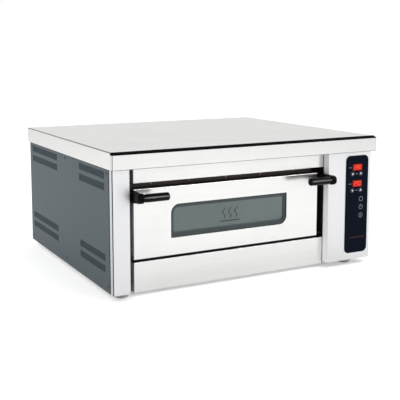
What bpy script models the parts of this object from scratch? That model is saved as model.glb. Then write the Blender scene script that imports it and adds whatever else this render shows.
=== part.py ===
"""Single-deck electric oven: stainless casing, glazed drop-down door, stone hearth, control column.

Metres, +Z up, +X to the right, +Y to the back.  The origin is the middle of the footprint, on the
surface that the oven stands on.  Run with: blender --background --python part.py
"""
import math

import bmesh
import bpy
from mathutils import Matrix, Vector

# ---- driving dimensions: overall ------------------------------------------------------------
HOOD_WIDTH = 1.000          # top cover, left to right
HOOD_DEPTH = 0.871          # front fascia to the back of the top cover
BODY_HEIGHT = 0.440         # underside of the casing to the top of the cover
FOOT_HEIGHT = 0.020
GAP = 0.0003                # between pieces that touch
SHEET = 0.0012              # casing sheet
LINER = 0.0015              # chamber and door liner sheet
CUT_REACH = 0.010           # how far a cutting solid stands out of what it cuts
FINE_CORNER = 0.004         # corners under this radius are drawn as one flat
CORNER_SHARE = 0.45         # a corner takes up at most this share of the shorter side

# ---- casing ---------------------------------------------------------------------------------
LIP_HEIGHT = 0.0535         # turned-down edge of the top cover
SIDE_OVERHANG = 0.006
REAR_OVERHANG = 0.012
POST_SETBACK = 0.019        # posts behind the fascia
PANEL_RECESS = 0.028        # door plane behind the posts
NOSE_DEPTH = 0.016          # dark edge strip along the front of the top cover
NOSE_HEIGHT = 0.0078
NOSE_FLAT = 0.0012
POST_WIDTH = 0.059
COLUMN_WIDTH = 0.187
SIDE_RETURN = 0.020         # posts turned round the casing's corners
REAR_FLANGE = 0.015         # side panels turned in at the back
SLOT_WIDTH_LEFT = 0.022     # handle slots beside the door
SLOT_WIDTH_RIGHT = 0.025
UPPER_PANEL_HEIGHT = 0.051
LOWER_PANEL_HEIGHT = 0.0885
PANEL_SKIRT = 0.0085        # lower panel below the casing's underside
TRAY_WALL = 0.025
SLOT_PLATE = 0.0012

# ---- feet -----------------------------------------------------------------------------------
FOOT_RADIUS = 0.023
FOOT_SOLE_RADIUS = 0.0207
FOOT_NECK_RADIUS = 0.01725
FOOT_EDGE = 0.003
FOOT_WALL = 0.013           # top of the foot's straight side
FOOT_INSET_LEFT = 0.047     # from the casing's sides to the feet's centres
FOOT_INSET_RIGHT = 0.073
FOOT_INSET_FRONT = 0.052
FOOT_INSET_REAR = 0.060

# ---- vents ----------------------------------------------------------------------------------
VENT_HEIGHT = 0.022
VENT_LEVELS_LOW = (0.0595, 0.0955)      # lower edges, from the casing's underside
VENT_LEVELS_HIGH = (0.0705, 0.0345)     # lower edges, from the cover's lip down
VENT_FRONT_START = 0.062                # from the posts' front
VENT_FRONT_LENGTH = 0.223
VENT_REAR_START = 0.033                 # from the casing's back
VENT_REAR_LENGTH = 0.293
VENT_PITCH = 0.0244
VENT_SLOT = 0.010
REAR_VENT_SIZE = (0.070, 0.006)
REAR_VENT_PITCH = 0.018
REAR_VENT_ROWS = 6
REAR_VENT_INSET = 0.090
REAR_VENT_LEVEL = 0.180

# ---- door -----------------------------------------------------------------------------------
DOOR_THICKNESS = 0.036
DOOR_GAP_BELOW = 0.0075
DOOR_GAP_ABOVE = 0.018
HINGE_BEHIND_FACE = 0.010
HINGE_ABOVE_EDGE = 0.008
WINDOW_MARGIN_LEFT = 0.128
WINDOW_MARGIN_RIGHT = 0.129
WINDOW_MARGIN_BELOW = 0.0555
WINDOW_MARGIN_ABOVE = 0.058
WINDOW_RADIUS = 0.029       # upper left and lower right corners
WINDOW_CORNER = 0.0015      # the two nearly sharp corners
BEZEL_WIDTH = 0.0095
BEZEL_LAP = 0.006           # bezel behind the door skin
BEZEL_DEPTH = 0.007
BEZEL_POCKET = 0.004
GLASS_THICKNESS = 0.004
GLASS_LAP = 0.0045
SKIN_RETURN = DOOR_THICKNESS - 0.002
LINER_RETURN = DOOR_THICKNESS - HINGE_BEHIND_FACE - 0.009   # clear of the hinge springs
LINER_WINDOW_GROWTH = 0.006
GASKET_THICKNESS = 0.0037
GASKET_WIDTH = 0.009
GASKET_CLEARANCE = 0.005    # seal outside the chamber mouth
GASKET_RADIUS_OUTER = 0.014
GASKET_RADIUS_INNER = 0.005

# ---- handles --------------------------------------------------------------------------------
HANDLE_REACH = 0.071        # grip axis in front of the door
HANDLE_BELOW_TOP = 0.016    # grip axis below the door's top edge
ARM_WIDTH = 0.019
ARM_ROOT_ABOVE = 0.0155     # the arm's root above and below the grip's axis
ARM_ROOT_BELOW = 0.027
ARM_TAIL = 0.024            # arm behind the door's face
ARM_EYE_RADIUS = 0.0155
ARM_EYE_ANGLES = (85, 280)  # where the arm's straight edges meet its eye, in degrees
ARM_EDGE = 0.003
GRIP_RADIUS = 0.013
GRIP_LENGTH = 0.086
GRIP_PROFILE = (            # radius, and distance from the grip's root
    (0.0, 0.0), (0.0105, 0.0), (0.0115, 0.003), (0.0105, 0.008), (GRIP_RADIUS, 0.022),
    (GRIP_RADIUS, GRIP_LENGTH - 0.012), (0.0115, GRIP_LENGTH - 0.004), (0.008, GRIP_LENGTH - 0.0008),
    (0.0, GRIP_LENGTH))
PIN_RADIUS = 0.0035
PIN_HEAD_RADIUS = 0.006
PIN_HEAD = 0.003
PIN_IN_DOOR = 0.030
PIN_CLEARANCE = 0.0004
SPRING_WIRE_RADIUS = 0.0008
SPRING_RADIUS = 0.0053
SPRING_TURNS = 5
SPRING_STEPS = 10           # straight pieces in one turn
SPRING_START = 0.006        # from the door's side
SPRING_LENGTH = 0.015

# ---- chamber --------------------------------------------------------------------------------
CHAMBER_SIDE_MARGIN = 0.022     # chamber inside the door's side edges
CHAMBER_SILL = 0.034            # hearth above the door's lower edge
CHAMBER_TOP_MARGIN = 0.0275
FRAME_THICKNESS = 0.002
INSULATION = 0.044
SERVICE_DEPTH = 0.053           # between the insulation and the back panel
MOUTH_BELOW_HEARTH = 0.001
HEARTH_THICKNESS = 0.018
HEARTH_SIDE_GAP = 0.0009
HEARTH_LEDGE = 0.015
FLOOR_DROP = 0.046              # chamber floor below the hearth's surface
ELEMENT_RADIUS = 0.00425
ELEMENT_LEGS = 6
ELEMENT_INSET = 0.060
ELEMENT_FRONT_INSET = 0.040
UPPER_ELEMENT_DROP = 0.015      # below the ceiling
LOWER_ELEMENT_LIFT = 0.014      # above the floor
ELEMENT_TAIL = 0.062            # behind the chamber
HOLE_CLEARANCE = 0.0006

# ---- fittings -------------------------------------------------------------------------------
STEAM_RADIUS = 0.011
STEAM_BORE = 0.009
STEAM_FROM_LEFT = 0.220
STEAM_BELOW_CEILING = 0.045
STEAM_STICKOUT = 0.010
PROBE_RADIUS = 0.002
PROBE_HEAD_RADIUS = 0.005
PROBE_REACH = 0.050
PROBE_HEAD = 0.015
LAMP_RADIUS = 0.020
LAMP_FLANGE_RADIUS = 0.030
LAMP_FACE_RADIUS = 0.024
LAMP_FLANGE = 0.005
LAMP_FLANGE_EDGE = 0.002
LAMP_BODY = 0.036
LAMP_BELOW_CEILING = 0.060
GLAND_RADIUS = 0.010
GLAND_NUT_RADIUS = 0.015
GLAND_NUT = 0.006
GLAND_BEHIND = 0.014
GLAND_STICKOUT = 0.0105
GLAND_FROM_RIGHT = 0.110
GLAND_LEVEL = 0.060
DIVIDER_OFFSET = 0.0025
DIVIDER_CLEARANCE = 0.004   # below the cover's lip
CONTACTOR_SIZE = (0.045, 0.080, 0.075)
CONTACTOR_FROM_FRONT = 0.250
TERMINALS_SIZE = (0.090, 0.034, 0.036)
MOULDING_EDGE = 0.003

# ---- control panel --------------------------------------------------------------------------
OVERLAY_WIDTH = 0.099
OVERLAY_FROM_RIGHT = 0.0125
OVERLAY_FROM_BOTTOM = 0.0235
OVERLAY_FROM_TOP = 0.0145
OVERLAY_RADIUS = 0.018
OVERLAY_THICKNESS = 0.0008
CUTOUT_MARGIN = 0.008
DISPLAY_SIZE = (0.040, 0.022)
DISPLAY_DEPTH = 0.006
DISPLAY_RECESS = 0.0001
DISPLAY_OFFSET = 0.0015                 # right of the overlay's middle
DISPLAY_DROPS = (0.042, 0.100)          # below the overlay's top edge
ARROW_OFFSETS = (-0.020, 0.016)
ARROW_DROPS = (0.065, 0.124)
ARROW_RADIUS = 0.0062
ROUND_OFFSET = 0.019
ROUND_DROPS = (0.156, 0.185, 0.215)
ROUND_RADIUS = 0.0095
BUTTON_TRAVEL = 0.0008
BUTTON_PROUD = BUTTON_TRAVEL + 0.0001   # a pressed button still stands out of the overlay
BUTTON_BODY = 0.0026
BUTTON_EDGE = 0.0006
BUTTON_CLEARANCE = 0.0003
BOARD_BEHIND = 0.009
BOARD_THICKNESS = 0.0016

# ---- levels and planes worked out from the values above -------------------------------------
FRONT_REACH = HANDLE_REACH + ARM_EYE_RADIUS - POST_SETBACK - PANEL_RECESS
Y_FASCIA = (FRONT_REACH - HOOD_DEPTH) / 2
Y_HOOD_REAR = Y_FASCIA + HOOD_DEPTH
Y_POST = Y_FASCIA + POST_SETBACK
Y_PANEL = Y_POST + PANEL_RECESS
Y_DOOR_BACK = Y_PANEL + DOOR_THICKNESS
Y_FRAME = Y_DOOR_BACK + GASKET_THICKNESS + 2 * GAP
Y_CHAMBER = Y_FRAME + FRAME_THICKNESS + GAP
Y_SLOT_PLATE = Y_FRAME - GAP - SLOT_PLATE
Y_BODY_REAR = Y_HOOD_REAR - REAR_OVERHANG
Y_JACKET_REAR = Y_BODY_REAR - SERVICE_DEPTH
Y_CHAMBER_REAR = Y_JACKET_REAR - INSULATION - LINER - GAP

X_HOOD = HOOD_WIDTH / 2
X_BODY = X_HOOD - SIDE_OVERHANG
X_POST = -X_BODY + POST_WIDTH
X_COLUMN = X_BODY - COLUMN_WIDTH
X_DOOR_LEFT = X_POST + SLOT_WIDTH_LEFT
X_DOOR_RIGHT = X_COLUMN - SLOT_WIDTH_RIGHT
X_CHAMBER_LEFT = X_DOOR_LEFT + CHAMBER_SIDE_MARGIN
X_CHAMBER_RIGHT = X_DOOR_RIGHT - CHAMBER_SIDE_MARGIN

Z_UNDER = FOOT_HEIGHT
Z_TOP = Z_UNDER + BODY_HEIGHT
Z_LIP = Z_TOP - LIP_HEIGHT
Z_LOWER_PANEL = Z_UNDER + LOWER_PANEL_HEIGHT
Z_UPPER_PANEL = Z_LIP - UPPER_PANEL_HEIGHT
Z_DOOR = Z_LOWER_PANEL + DOOR_GAP_BELOW
Z_DOOR_TOP = Z_UPPER_PANEL - DOOR_GAP_ABOVE
Z_HEARTH = Z_DOOR + CHAMBER_SILL
Z_CEILING = Z_DOOR_TOP - CHAMBER_TOP_MARGIN
Z_FLOOR = Z_HEARTH - FLOOR_DROP
Z_UPPER_ELEMENT = Z_CEILING - UPPER_ELEMENT_DROP
Z_LOWER_ELEMENT = Z_FLOOR + LOWER_ELEMENT_LIFT

HINGE = Vector((0.0, Y_PANEL + HINGE_BEHIND_FACE, Z_DOOR + HINGE_ABOVE_EDGE))
Y_GRIP = Y_PANEL - HANDLE_REACH
Z_GRIP = Z_DOOR_TOP - HANDLE_BELOW_TOP

X_OVERLAY = X_BODY - OVERLAY_FROM_RIGHT - OVERLAY_WIDTH / 2
Z_OVERLAY_TOP = Z_LIP - OVERLAY_FROM_TOP
Z_OVERLAY = Z_UNDER + OVERLAY_FROM_BOTTOM
Y_OVERLAY = Y_POST - GAP - OVERLAY_THICKNESS

X_STEAM = X_CHAMBER_LEFT + STEAM_FROM_LEFT
Z_STEAM = Z_CEILING - STEAM_BELOW_CEILING
X_PROBE = (X_CHAMBER_LEFT + X_CHAMBER_RIGHT) / 2
Y_LAMP = (Y_CHAMBER + Y_CHAMBER_REAR) / 2
Z_LAMP = Z_CEILING - min(LAMP_BELOW_CEILING, (Z_CEILING - Z_HEARTH) / 2)
X_GLAND = X_BODY - GLAND_FROM_RIGHT
Z_GLAND = Z_UNDER + GLAND_LEVEL

# ---- finishes: colour, roughness, metallic, alpha -------------------------------------------
FINISHES = {
    "stainless": ((0.82, 0.82, 0.80), 0.28, 1.0, 1.0),
    "grey_sheet": ((0.13, 0.17, 0.20), 0.45, 0.2, 1.0),
    "black_strip": ((0.01, 0.01, 0.01), 0.4, 0.0, 1.0),
    "dark_steel": ((0.05, 0.045, 0.04), 0.5, 0.6, 1.0),
    "chamber_steel": ((0.42, 0.40, 0.37), 0.4, 0.9, 1.0),
    "hearth_stone": ((0.62, 0.55, 0.44), 0.9, 0.0, 1.0),
    "element": ((0.12, 0.11, 0.10), 0.5, 0.7, 1.0),
    "mineral_wool": ((0.70, 0.62, 0.45), 0.95, 0.0, 1.0),
    "seal": ((0.55, 0.52, 0.45), 0.9, 0.0, 1.0),
    "bakelite": ((0.012, 0.012, 0.013), 0.25, 0.0, 1.0),
    "glass": ((0.20, 0.25, 0.25), 0.08, 0.0, 0.5),
    "overlay": ((0.02, 0.022, 0.035), 0.35, 0.0, 1.0),
    "display": ((0.75, 0.04, 0.02), 0.3, 0.0, 1.0),
    "button": ((0.06, 0.065, 0.09), 0.45, 0.0, 1.0),
    "foot_rubber": ((0.25, 0.25, 0.26), 0.7, 0.0, 1.0),
    "board": ((0.02, 0.16, 0.08), 0.5, 0.0, 1.0),
    "relay": ((0.30, 0.31, 0.32), 0.5, 0.0, 1.0),
    "pin_steel": ((0.55, 0.55, 0.55), 0.3, 1.0, 1.0),
    "lamp_glass": ((0.85, 0.83, 0.75), 0.2, 0.0, 1.0),
}


# ---- helpers --------------------------------------------------------------------------------
def clear_scene():
    """Remove every object, so that a second run starts from nothing."""
    for ob in list(bpy.data.objects):
        bpy.data.objects.remove(ob, do_unlink=True)


def finish(name):
    """The named finish as a material, made on first use."""
    found = bpy.data.materials.get(name)
    if found:
        return found
    colour, roughness, metallic, alpha = FINISHES[name]
    made = bpy.data.materials.new(name)
    made.use_nodes = True
    shader = made.node_tree.nodes["Principled BSDF"]
    shader.inputs["Base Color"].default_value = (*colour, 1.0)
    shader.inputs["Roughness"].default_value = roughness
    shader.inputs["Metallic"].default_value = metallic
    shader.inputs["Alpha"].default_value = alpha
    return made


def add_object(name, mesh, material, origin=(0, 0, 0), parent=None):
    """Link a mesh given in world metres, with its object's origin at the given world point."""
    mesh.transform(Matrix.Translation(-Vector(origin)))
    ob = bpy.data.objects.new(name, mesh)
    bpy.context.scene.collection.objects.link(ob)
    ob.location = Vector(origin)
    if parent:
        ob.parent = parent
        ob.location -= parent.location
    if material:
        mesh.materials.append(finish(material))
    return ob


def add_empty(name, location):
    """A guide on a joint's axis, which the joint's pieces hang on."""
    ob = bpy.data.objects.new(name, None)
    bpy.context.scene.collection.objects.link(ob)
    ob.location = location
    ob.empty_display_size = 0.03
    return ob


def mesh_from(bm, smooth=False):
    """Turn a bmesh into a mesh, with round parts shaded smooth up to 35 degrees."""
    mesh = bpy.data.meshes.new("shape")
    bm.to_mesh(mesh)
    bm.free()
    if smooth:
        mesh.shade_smooth()
        mesh.set_sharp_from_angle(angle=math.radians(35))
    return mesh


def block_mesh(low, high, open_sides=()):
    """A box between two corners, less the faces on the named sides, such as '+Y'."""
    low, high = Vector(low), Vector(high)
    bm = bmesh.new()
    bmesh.ops.create_cube(bm, size=1.0)
    size = high - low
    bmesh.ops.scale(bm, vec=size, verts=bm.verts)
    bmesh.ops.translate(bm, vec=(low + high) / 2, verts=bm.verts)
    bm.normal_update()
    gone = []
    for side in open_sides:
        axis = "XYZ".index(side[1])
        sign = 1 if side[0] == "+" else -1
        gone += [face for face in bm.faces if face.normal[axis] * sign > 0.9]
    bmesh.ops.delete(bm, geom=gone, context="FACES")
    return mesh_from(bm)


def block(name, low, high, material, edge=0.0, parent=None):
    """A solid box, with its edges eased when edge is given."""
    ob = add_object(name, block_mesh(low, high), material, low, parent)
    if edge:
        ease(ob, edge)
    return ob


def ease(ob, width, segments=1):
    """Round the object's edges."""
    bevel = ob.modifiers.new("eased edges", "BEVEL")
    bevel.width = width
    bevel.segments = segments
    bevel.limit_method = "ANGLE"
    return bevel


def folded_tray(name, low, high, open_sides, thickness, material, parent=None):
    """Sheet folded into a box shape, its outside between two corners, open on the named sides."""
    ob = add_object(name, block_mesh(low, high, open_sides), material, low, parent)
    wall = ob.modifiers.new("sheet", "SOLIDIFY")
    wall.thickness = thickness
    wall.offset = -1.0
    wall.use_even_offset = True
    return ob


def prism_mesh(outline, axis, start, end, smooth=False):
    """An outline extruded along an axis.  The outline holds the other two coordinates, in order."""
    index = "XYZ".index(axis)
    bm = bmesh.new()
    ring = []
    for a, b in outline:
        point = [a, b]
        point.insert(index, start)
        ring.append(bm.verts.new(point))
    cap = bm.faces.new(ring)
    grown = bmesh.ops.extrude_face_region(bm, geom=[cap])["geom"]
    step = Vector((0, 0, 0))
    step[index] = end - start
    bmesh.ops.translate(bm, vec=step, verts=[v for v in grown if isinstance(v, bmesh.types.BMVert)])
    bmesh.ops.recalc_face_normals(bm, faces=bm.faces)
    return mesh_from(bm, smooth)


def turned_mesh(profile, axis, centre, segments=24):
    """A profile of (radius, distance along the axis) turned round an axis through a point."""
    bm = bmesh.new()
    closed = profile[0] == profile[-1]
    points = profile[:-1] if closed else profile
    verts = [bm.verts.new((radius, 0, along)) for radius, along in points]
    edges = [bm.edges.new(pair) for pair in zip(verts, verts[1:])]
    if closed:
        edges.append(bm.edges.new((verts[-1], verts[0])))
    bmesh.ops.spin(bm, geom=verts + edges, cent=(0, 0, 0), axis=(0, 0, 1), dvec=(0, 0, 0),
                   angle=math.tau, steps=segments, use_merge=True, use_duplicate=False)
    bmesh.ops.remove_doubles(bm, verts=bm.verts, dist=0.00001)
    bmesh.ops.recalc_face_normals(bm, faces=bm.faces)
    turn = Vector((0, 0, 1)).rotation_difference(Vector(axis)).to_matrix()
    bmesh.ops.rotate(bm, cent=(0, 0, 0), matrix=turn, verts=bm.verts)
    bmesh.ops.translate(bm, vec=centre, verts=bm.verts)
    return mesh_from(bm, smooth=True)


def tube(name, points, radius, material, parent=None, origin=(0, 0, 0)):
    """A round bar along a line of points, closed at its ends."""
    curve = bpy.data.curves.new(name, "CURVE")
    curve.dimensions = "3D"
    spline = curve.splines.new("POLY")
    spline.points.add(len(points) - 1)
    for slot, point in zip(spline.points, points):
        slot.co = (*(Vector(point) - Vector(origin)), 1.0)
    curve.bevel_depth = radius
    curve.bevel_resolution = 1
    curve.use_fill_caps = True
    curve.materials.append(finish(material))
    ob = bpy.data.objects.new(name, curve)
    bpy.context.scene.collection.objects.link(ob)
    ob.location = Vector(origin)
    if parent:
        ob.parent = parent
        ob.location -= parent.location
    return ob


def cutter(name, mesh):
    """A tool solid, shown as wire and left out of the model."""
    ob = add_object(name, mesh, None)
    ob.hide_render = True
    ob.display_type = "WIRE"
    return ob


def cut(ob, name, mesh):
    """Take one solid out of an object."""
    boolean = ob.modifiers.new(name, "BOOLEAN")
    boolean.operation = "DIFFERENCE"
    boolean.solver = "EXACT"
    boolean.object = cutter(name, mesh)
    return ob


def drill(ob, name, centre, axis, radius, length=2 * CUT_REACH, segments=20):
    """A round hole through an object, centred on a point."""
    half = length / 2
    profile = [(0, -half), (radius, -half), (radius, half), (0, half)]
    return cut(ob, name, turned_mesh(profile, axis, centre, segments))


def joined(boxes):
    """Separate boxes in one mesh, for a cutter that makes a pattern of holes."""
    bm = bmesh.new()
    for low, high in boxes:
        single = block_mesh(low, high)
        bm.from_mesh(single)
        bpy.data.meshes.remove(single)
    return mesh_from(bm)


def arc(centre, radius, start, end, steps):
    """Points on an arc, angles in degrees."""
    turns = [math.radians(start + (end - start) * i / steps) for i in range(steps + 1)]
    return [(centre[0] + radius * math.cos(t), centre[1] + radius * math.sin(t)) for t in turns]


def rounded_outline(low, high, radii, steps=6):
    """A rectangle with a radius per corner: lower left, lower right, upper right, upper left."""
    limit = CORNER_SHARE * min(high[0] - low[0], high[1] - low[1])
    radii = [min(r, limit) for r in radii]
    corners = [(low[0], low[1]), (high[0], low[1]), (high[0], high[1]), (low[0], high[1])]
    inward = [(1, 1), (-1, 1), (-1, -1), (1, -1)]
    outline = []
    for i, (corner, way, radius) in enumerate(zip(corners, inward, radii)):
        centre = (corner[0] + way[0] * radius, corner[1] + way[1] * radius)
        flats = steps if radius > FINE_CORNER else 1
        outline += arc(centre, radius, 180 + 90 * i, 270 + 90 * i, flats)
    return outline


def window_outline(grow):
    """The window's leaf shape, grown or, when negative, shrunk all round."""
    low = (X_DOOR_LEFT + WINDOW_MARGIN_LEFT - grow, Z_DOOR + WINDOW_MARGIN_BELOW - grow)
    high = (X_DOOR_RIGHT - WINDOW_MARGIN_RIGHT + grow, Z_DOOR_TOP - WINDOW_MARGIN_ABOVE + grow)
    round_corner = max(WINDOW_RADIUS + grow, WINDOW_CORNER)
    tight_corner = max(WINDOW_CORNER + grow, WINDOW_CORNER)
    return rounded_outline(low, high, [tight_corner, round_corner, tight_corner, round_corner])


def folded_profile(path, thickness):
    """Close a right-angled path into a sheet's section, its thickness to the left of the path."""
    inner = []
    for i, point in enumerate(path):
        shift = Vector((0, 0))
        for start, end in ((i - 1, i), (i, i + 1)):
            if start >= 0 and end < len(path):
                way = (Vector(path[end]) - Vector(path[start])).normalized()
                side = Vector((-way.y, way.x)) * thickness
                shift = shift + side if abs(shift.normalized().dot(side)) < 0.5 * thickness else side
        inner.append((point[0] + shift.x, point[1] + shift.y))
    return list(path) + inner[::-1]


# ---- casing ---------------------------------------------------------------------------------
def make_base_tray():
    inside = X_BODY - SHEET - GAP
    wall_top = Z_UNDER + TRAY_WALL
    path = [(-inside, wall_top), (-inside, Z_UNDER), (inside, Z_UNDER), (inside, wall_top)]
    rear = Y_BODY_REAR - 2 * SHEET - 2 * GAP
    mesh = prism_mesh(folded_profile(path, SHEET), "Y", Y_PANEL, rear)
    tray = add_object("base_tray", mesh, "stainless", (0, Y_PANEL, Z_UNDER))
    notch = block_mesh((X_POST - SHEET - GAP, Y_PANEL - CUT_REACH, Z_UNDER - CUT_REACH),
                       (X_COLUMN + SHEET + GAP, Y_SLOT_PLATE + GAP, Z_UNDER + CUT_REACH))
    cut(tray, "panel_notch", notch)


def make_feet():
    top = FOOT_HEIGHT - GAP
    profile = [(0, 0), (FOOT_SOLE_RADIUS, 0), (FOOT_RADIUS, FOOT_EDGE), (FOOT_RADIUS, FOOT_WALL),
               (FOOT_NECK_RADIUS, top), (0, top)]
    sides = {"left": -X_BODY + FOOT_INSET_LEFT, "right": X_BODY - FOOT_INSET_RIGHT}
    ends = {"front": Y_POST + FOOT_INSET_FRONT, "rear": Y_BODY_REAR - FOOT_INSET_REAR}
    for end, y in ends.items():
        for side, x in sides.items():
            mesh = turned_mesh(profile, (0, 0, 1), (x, y, 0))
            add_object("foot_%s_%s" % (end, side), mesh, "foot_rubber", (x, y, 0))


def vent_boxes(x_low, x_high):
    """Every vent slot of one side panel, as boxes that run through it."""
    levels = [Z_UNDER + level for level in VENT_LEVELS_LOW]
    levels += [Z_LIP - level for level in VENT_LEVELS_HIGH]
    groups = [(Y_POST + VENT_FRONT_START, VENT_FRONT_LENGTH),
              (Y_BODY_REAR - VENT_REAR_START - VENT_REAR_LENGTH, VENT_REAR_LENGTH)]
    boxes = []
    for level in levels:
        for start, length in groups:
            count = int(length / VENT_PITCH)
            lead = (length - (count - 1) * VENT_PITCH - VENT_SLOT) / 2
            for i in range(count):
                y = start + lead + i * VENT_PITCH
                boxes.append(((x_low, y, level), (x_high, y + VENT_SLOT, level + VENT_HEIGHT)))
    return boxes


def make_side_panel(name, side):
    """A side sheet with four rows of vents, turned in at the back."""
    front = Y_POST + SIDE_RETURN + GAP
    rear = Y_BODY_REAR - SHEET - GAP
    x_out = side * X_BODY
    path = [(x_out, front), (x_out, rear), (x_out - side * REAR_FLANGE, rear)]
    if side > 0:
        outline = folded_profile(path, SHEET)
    else:
        outline = folded_profile(path[::-1], SHEET)
    mesh = prism_mesh(outline, "Z", Z_UNDER, Z_LIP - GAP)
    ob = add_object(name, mesh, "grey_sheet", (x_out, front, Z_UNDER))
    cut(ob, name + "_vents", joined(vent_boxes(x_out - CUT_REACH, x_out + CUT_REACH)))


def make_rear_panel():
    low = (-X_BODY, Y_BODY_REAR - SHEET, Z_UNDER)
    ob = block("rear_panel", low, (X_BODY, Y_BODY_REAR, Z_LIP - GAP), "grey_sheet")
    boxes = []
    width, height = REAR_VENT_SIZE
    for side in (-1, 1):
        x = side * (X_BODY - REAR_VENT_INSET - width / 2)
        for row in range(REAR_VENT_ROWS):
            z = Z_UNDER + REAR_VENT_LEVEL + row * REAR_VENT_PITCH
            boxes.append(((x - width / 2, Y_BODY_REAR - CUT_REACH, z),
                          (x + width / 2, Y_BODY_REAR + CUT_REACH, z + height)))
    cut(ob, "rear_vents", joined(boxes))
    drill(ob, "steam_hole", (X_STEAM, Y_BODY_REAR, Z_STEAM), (0, 1, 0), STEAM_RADIUS + HOLE_CLEARANCE)
    drill(ob, "gland_hole", (X_GLAND, Y_BODY_REAR, Z_GLAND), (0, 1, 0), GLAND_RADIUS + HOLE_CLEARANCE)


def make_top_cover():
    low = (-X_HOOD, Y_FASCIA + NOSE_DEPTH + GAP, Z_LIP)
    folded_tray("top_cover", low, (X_HOOD, Y_HOOD_REAR, Z_TOP), ("-Z", "-Y"), SHEET, "stainless")


def make_front_edge():
    """The fascia below the cover's front edge, and the dark strip that caps it."""
    rear = Y_FASCIA + NOSE_DEPTH
    fascia_top = Z_TOP - NOSE_HEIGHT
    folded_tray("front_fascia", (-X_HOOD, Y_FASCIA, Z_LIP), (X_HOOD, rear, fascia_top),
                ("+Y", "+Z"), SHEET, "stainless")
    foot = fascia_top + GAP
    outline = [(Y_FASCIA, foot), (rear, foot), (rear, Z_TOP), (Y_FASCIA, foot + NOSE_FLAT)]
    mesh = prism_mesh(outline, "X", -X_HOOD, X_HOOD)
    add_object("front_edge_strip", mesh, "black_strip", (0, Y_FASCIA, fascia_top))


def make_posts():
    """The left post and the control column, both sheet sections that run up to the cover's lip."""
    deep = Y_SLOT_PLATE
    top = Z_LIP - GAP
    path = [(-X_BODY, Y_POST + SIDE_RETURN), (-X_BODY, Y_POST), (X_POST, Y_POST), (X_POST, deep)]
    mesh = prism_mesh(folded_profile(path, SHEET), "Z", Z_UNDER, top)
    post = add_object("left_post", mesh, "stainless", (-X_BODY, Y_POST, Z_UNDER))
    path = [(X_COLUMN, deep), (X_COLUMN, Y_POST), (X_BODY, Y_POST), (X_BODY, Y_POST + SIDE_RETURN)]
    mesh = prism_mesh(folded_profile(path, SHEET), "Z", Z_UNDER, top)
    column = add_object("control_column", mesh, "stainless", (X_COLUMN, Y_POST, Z_UNDER))
    half = OVERLAY_WIDTH / 2 - CUTOUT_MARGIN
    low = (X_OVERLAY - half, Y_POST - CUT_REACH, Z_OVERLAY + CUTOUT_MARGIN)
    high = (X_OVERLAY + half, Y_POST + CUT_REACH, Z_OVERLAY_TOP - CUTOUT_MARGIN)
    cut(column, "panel_cutout", block_mesh(low, high))
    for ob, x in ((post, X_POST), (column, X_COLUMN)):
        drill(ob, ob.name + "_pin_hole", (x, HINGE.y, HINGE.z), (1, 0, 0), PIN_RADIUS + PIN_CLEARANCE)


def make_front_panels():
    right = X_COLUMN - GAP
    back = Y_SLOT_PLATE - GAP
    folded_tray("lower_front_panel", (X_DOOR_LEFT, Y_PANEL, Z_UNDER - PANEL_SKIRT),
                (right, back, Z_LOWER_PANEL), ("+Y",), SHEET, "stainless")
    folded_tray("upper_front_panel", (X_DOOR_LEFT, Y_PANEL, Z_UPPER_PANEL),
                (right, back, Z_LIP - GAP), ("+Y",), SHEET, "stainless")


def make_slot_plates():
    """The dark plates at the back of the two handle slots."""
    back = Y_SLOT_PLATE + SLOT_PLATE
    low = (X_POST + GAP, Y_SLOT_PLATE, Z_UNDER + SHEET + GAP)
    block("slot_plate_left", low, (X_DOOR_LEFT - GAP, back, Z_LIP - GAP), "dark_steel")
    low = (X_DOOR_RIGHT + GAP, Y_SLOT_PLATE, Z_LOWER_PANEL + GAP)
    block("slot_plate_right", low, (X_COLUMN - GAP, back, Z_UPPER_PANEL - GAP), "dark_steel")


# ---- chamber --------------------------------------------------------------------------------
def rear_passages():
    """What goes through the chamber's back: centre X, centre Z and radius of each."""
    passages = [(X_STEAM, Z_STEAM, STEAM_RADIUS), (X_PROBE, Z_UPPER_ELEMENT, PROBE_RADIUS)]
    for z in (Z_UPPER_ELEMENT, Z_LOWER_ELEMENT):
        passages.append((X_CHAMBER_LEFT + ELEMENT_INSET, z, ELEMENT_RADIUS))
        passages.append((X_CHAMBER_RIGHT - ELEMENT_INSET, z, ELEMENT_RADIUS))
    return passages


def drill_back(ob, depth):
    """Holes for everything that passes through the chamber's back."""
    for i, (x, z, radius) in enumerate(rear_passages()):
        centre = (x, Y_CHAMBER_REAR + depth / 2, z)
        name = "%s_passage_%d" % (ob.name, i)
        drill(ob, name, centre, (0, 1, 0), radius + HOLE_CLEARANCE, depth + 2 * CUT_REACH, 12)


def drill_lamp(ob):
    """A hole for the lamp's body."""
    centre = (X_CHAMBER_RIGHT + LAMP_BODY / 2, Y_LAMP, Z_LAMP)
    length = LAMP_BODY + 4 * CUT_REACH
    drill(ob, ob.name + "_lamp_hole", centre, (1, 0, 0), LAMP_RADIUS + HOLE_CLEARANCE, length)


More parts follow.
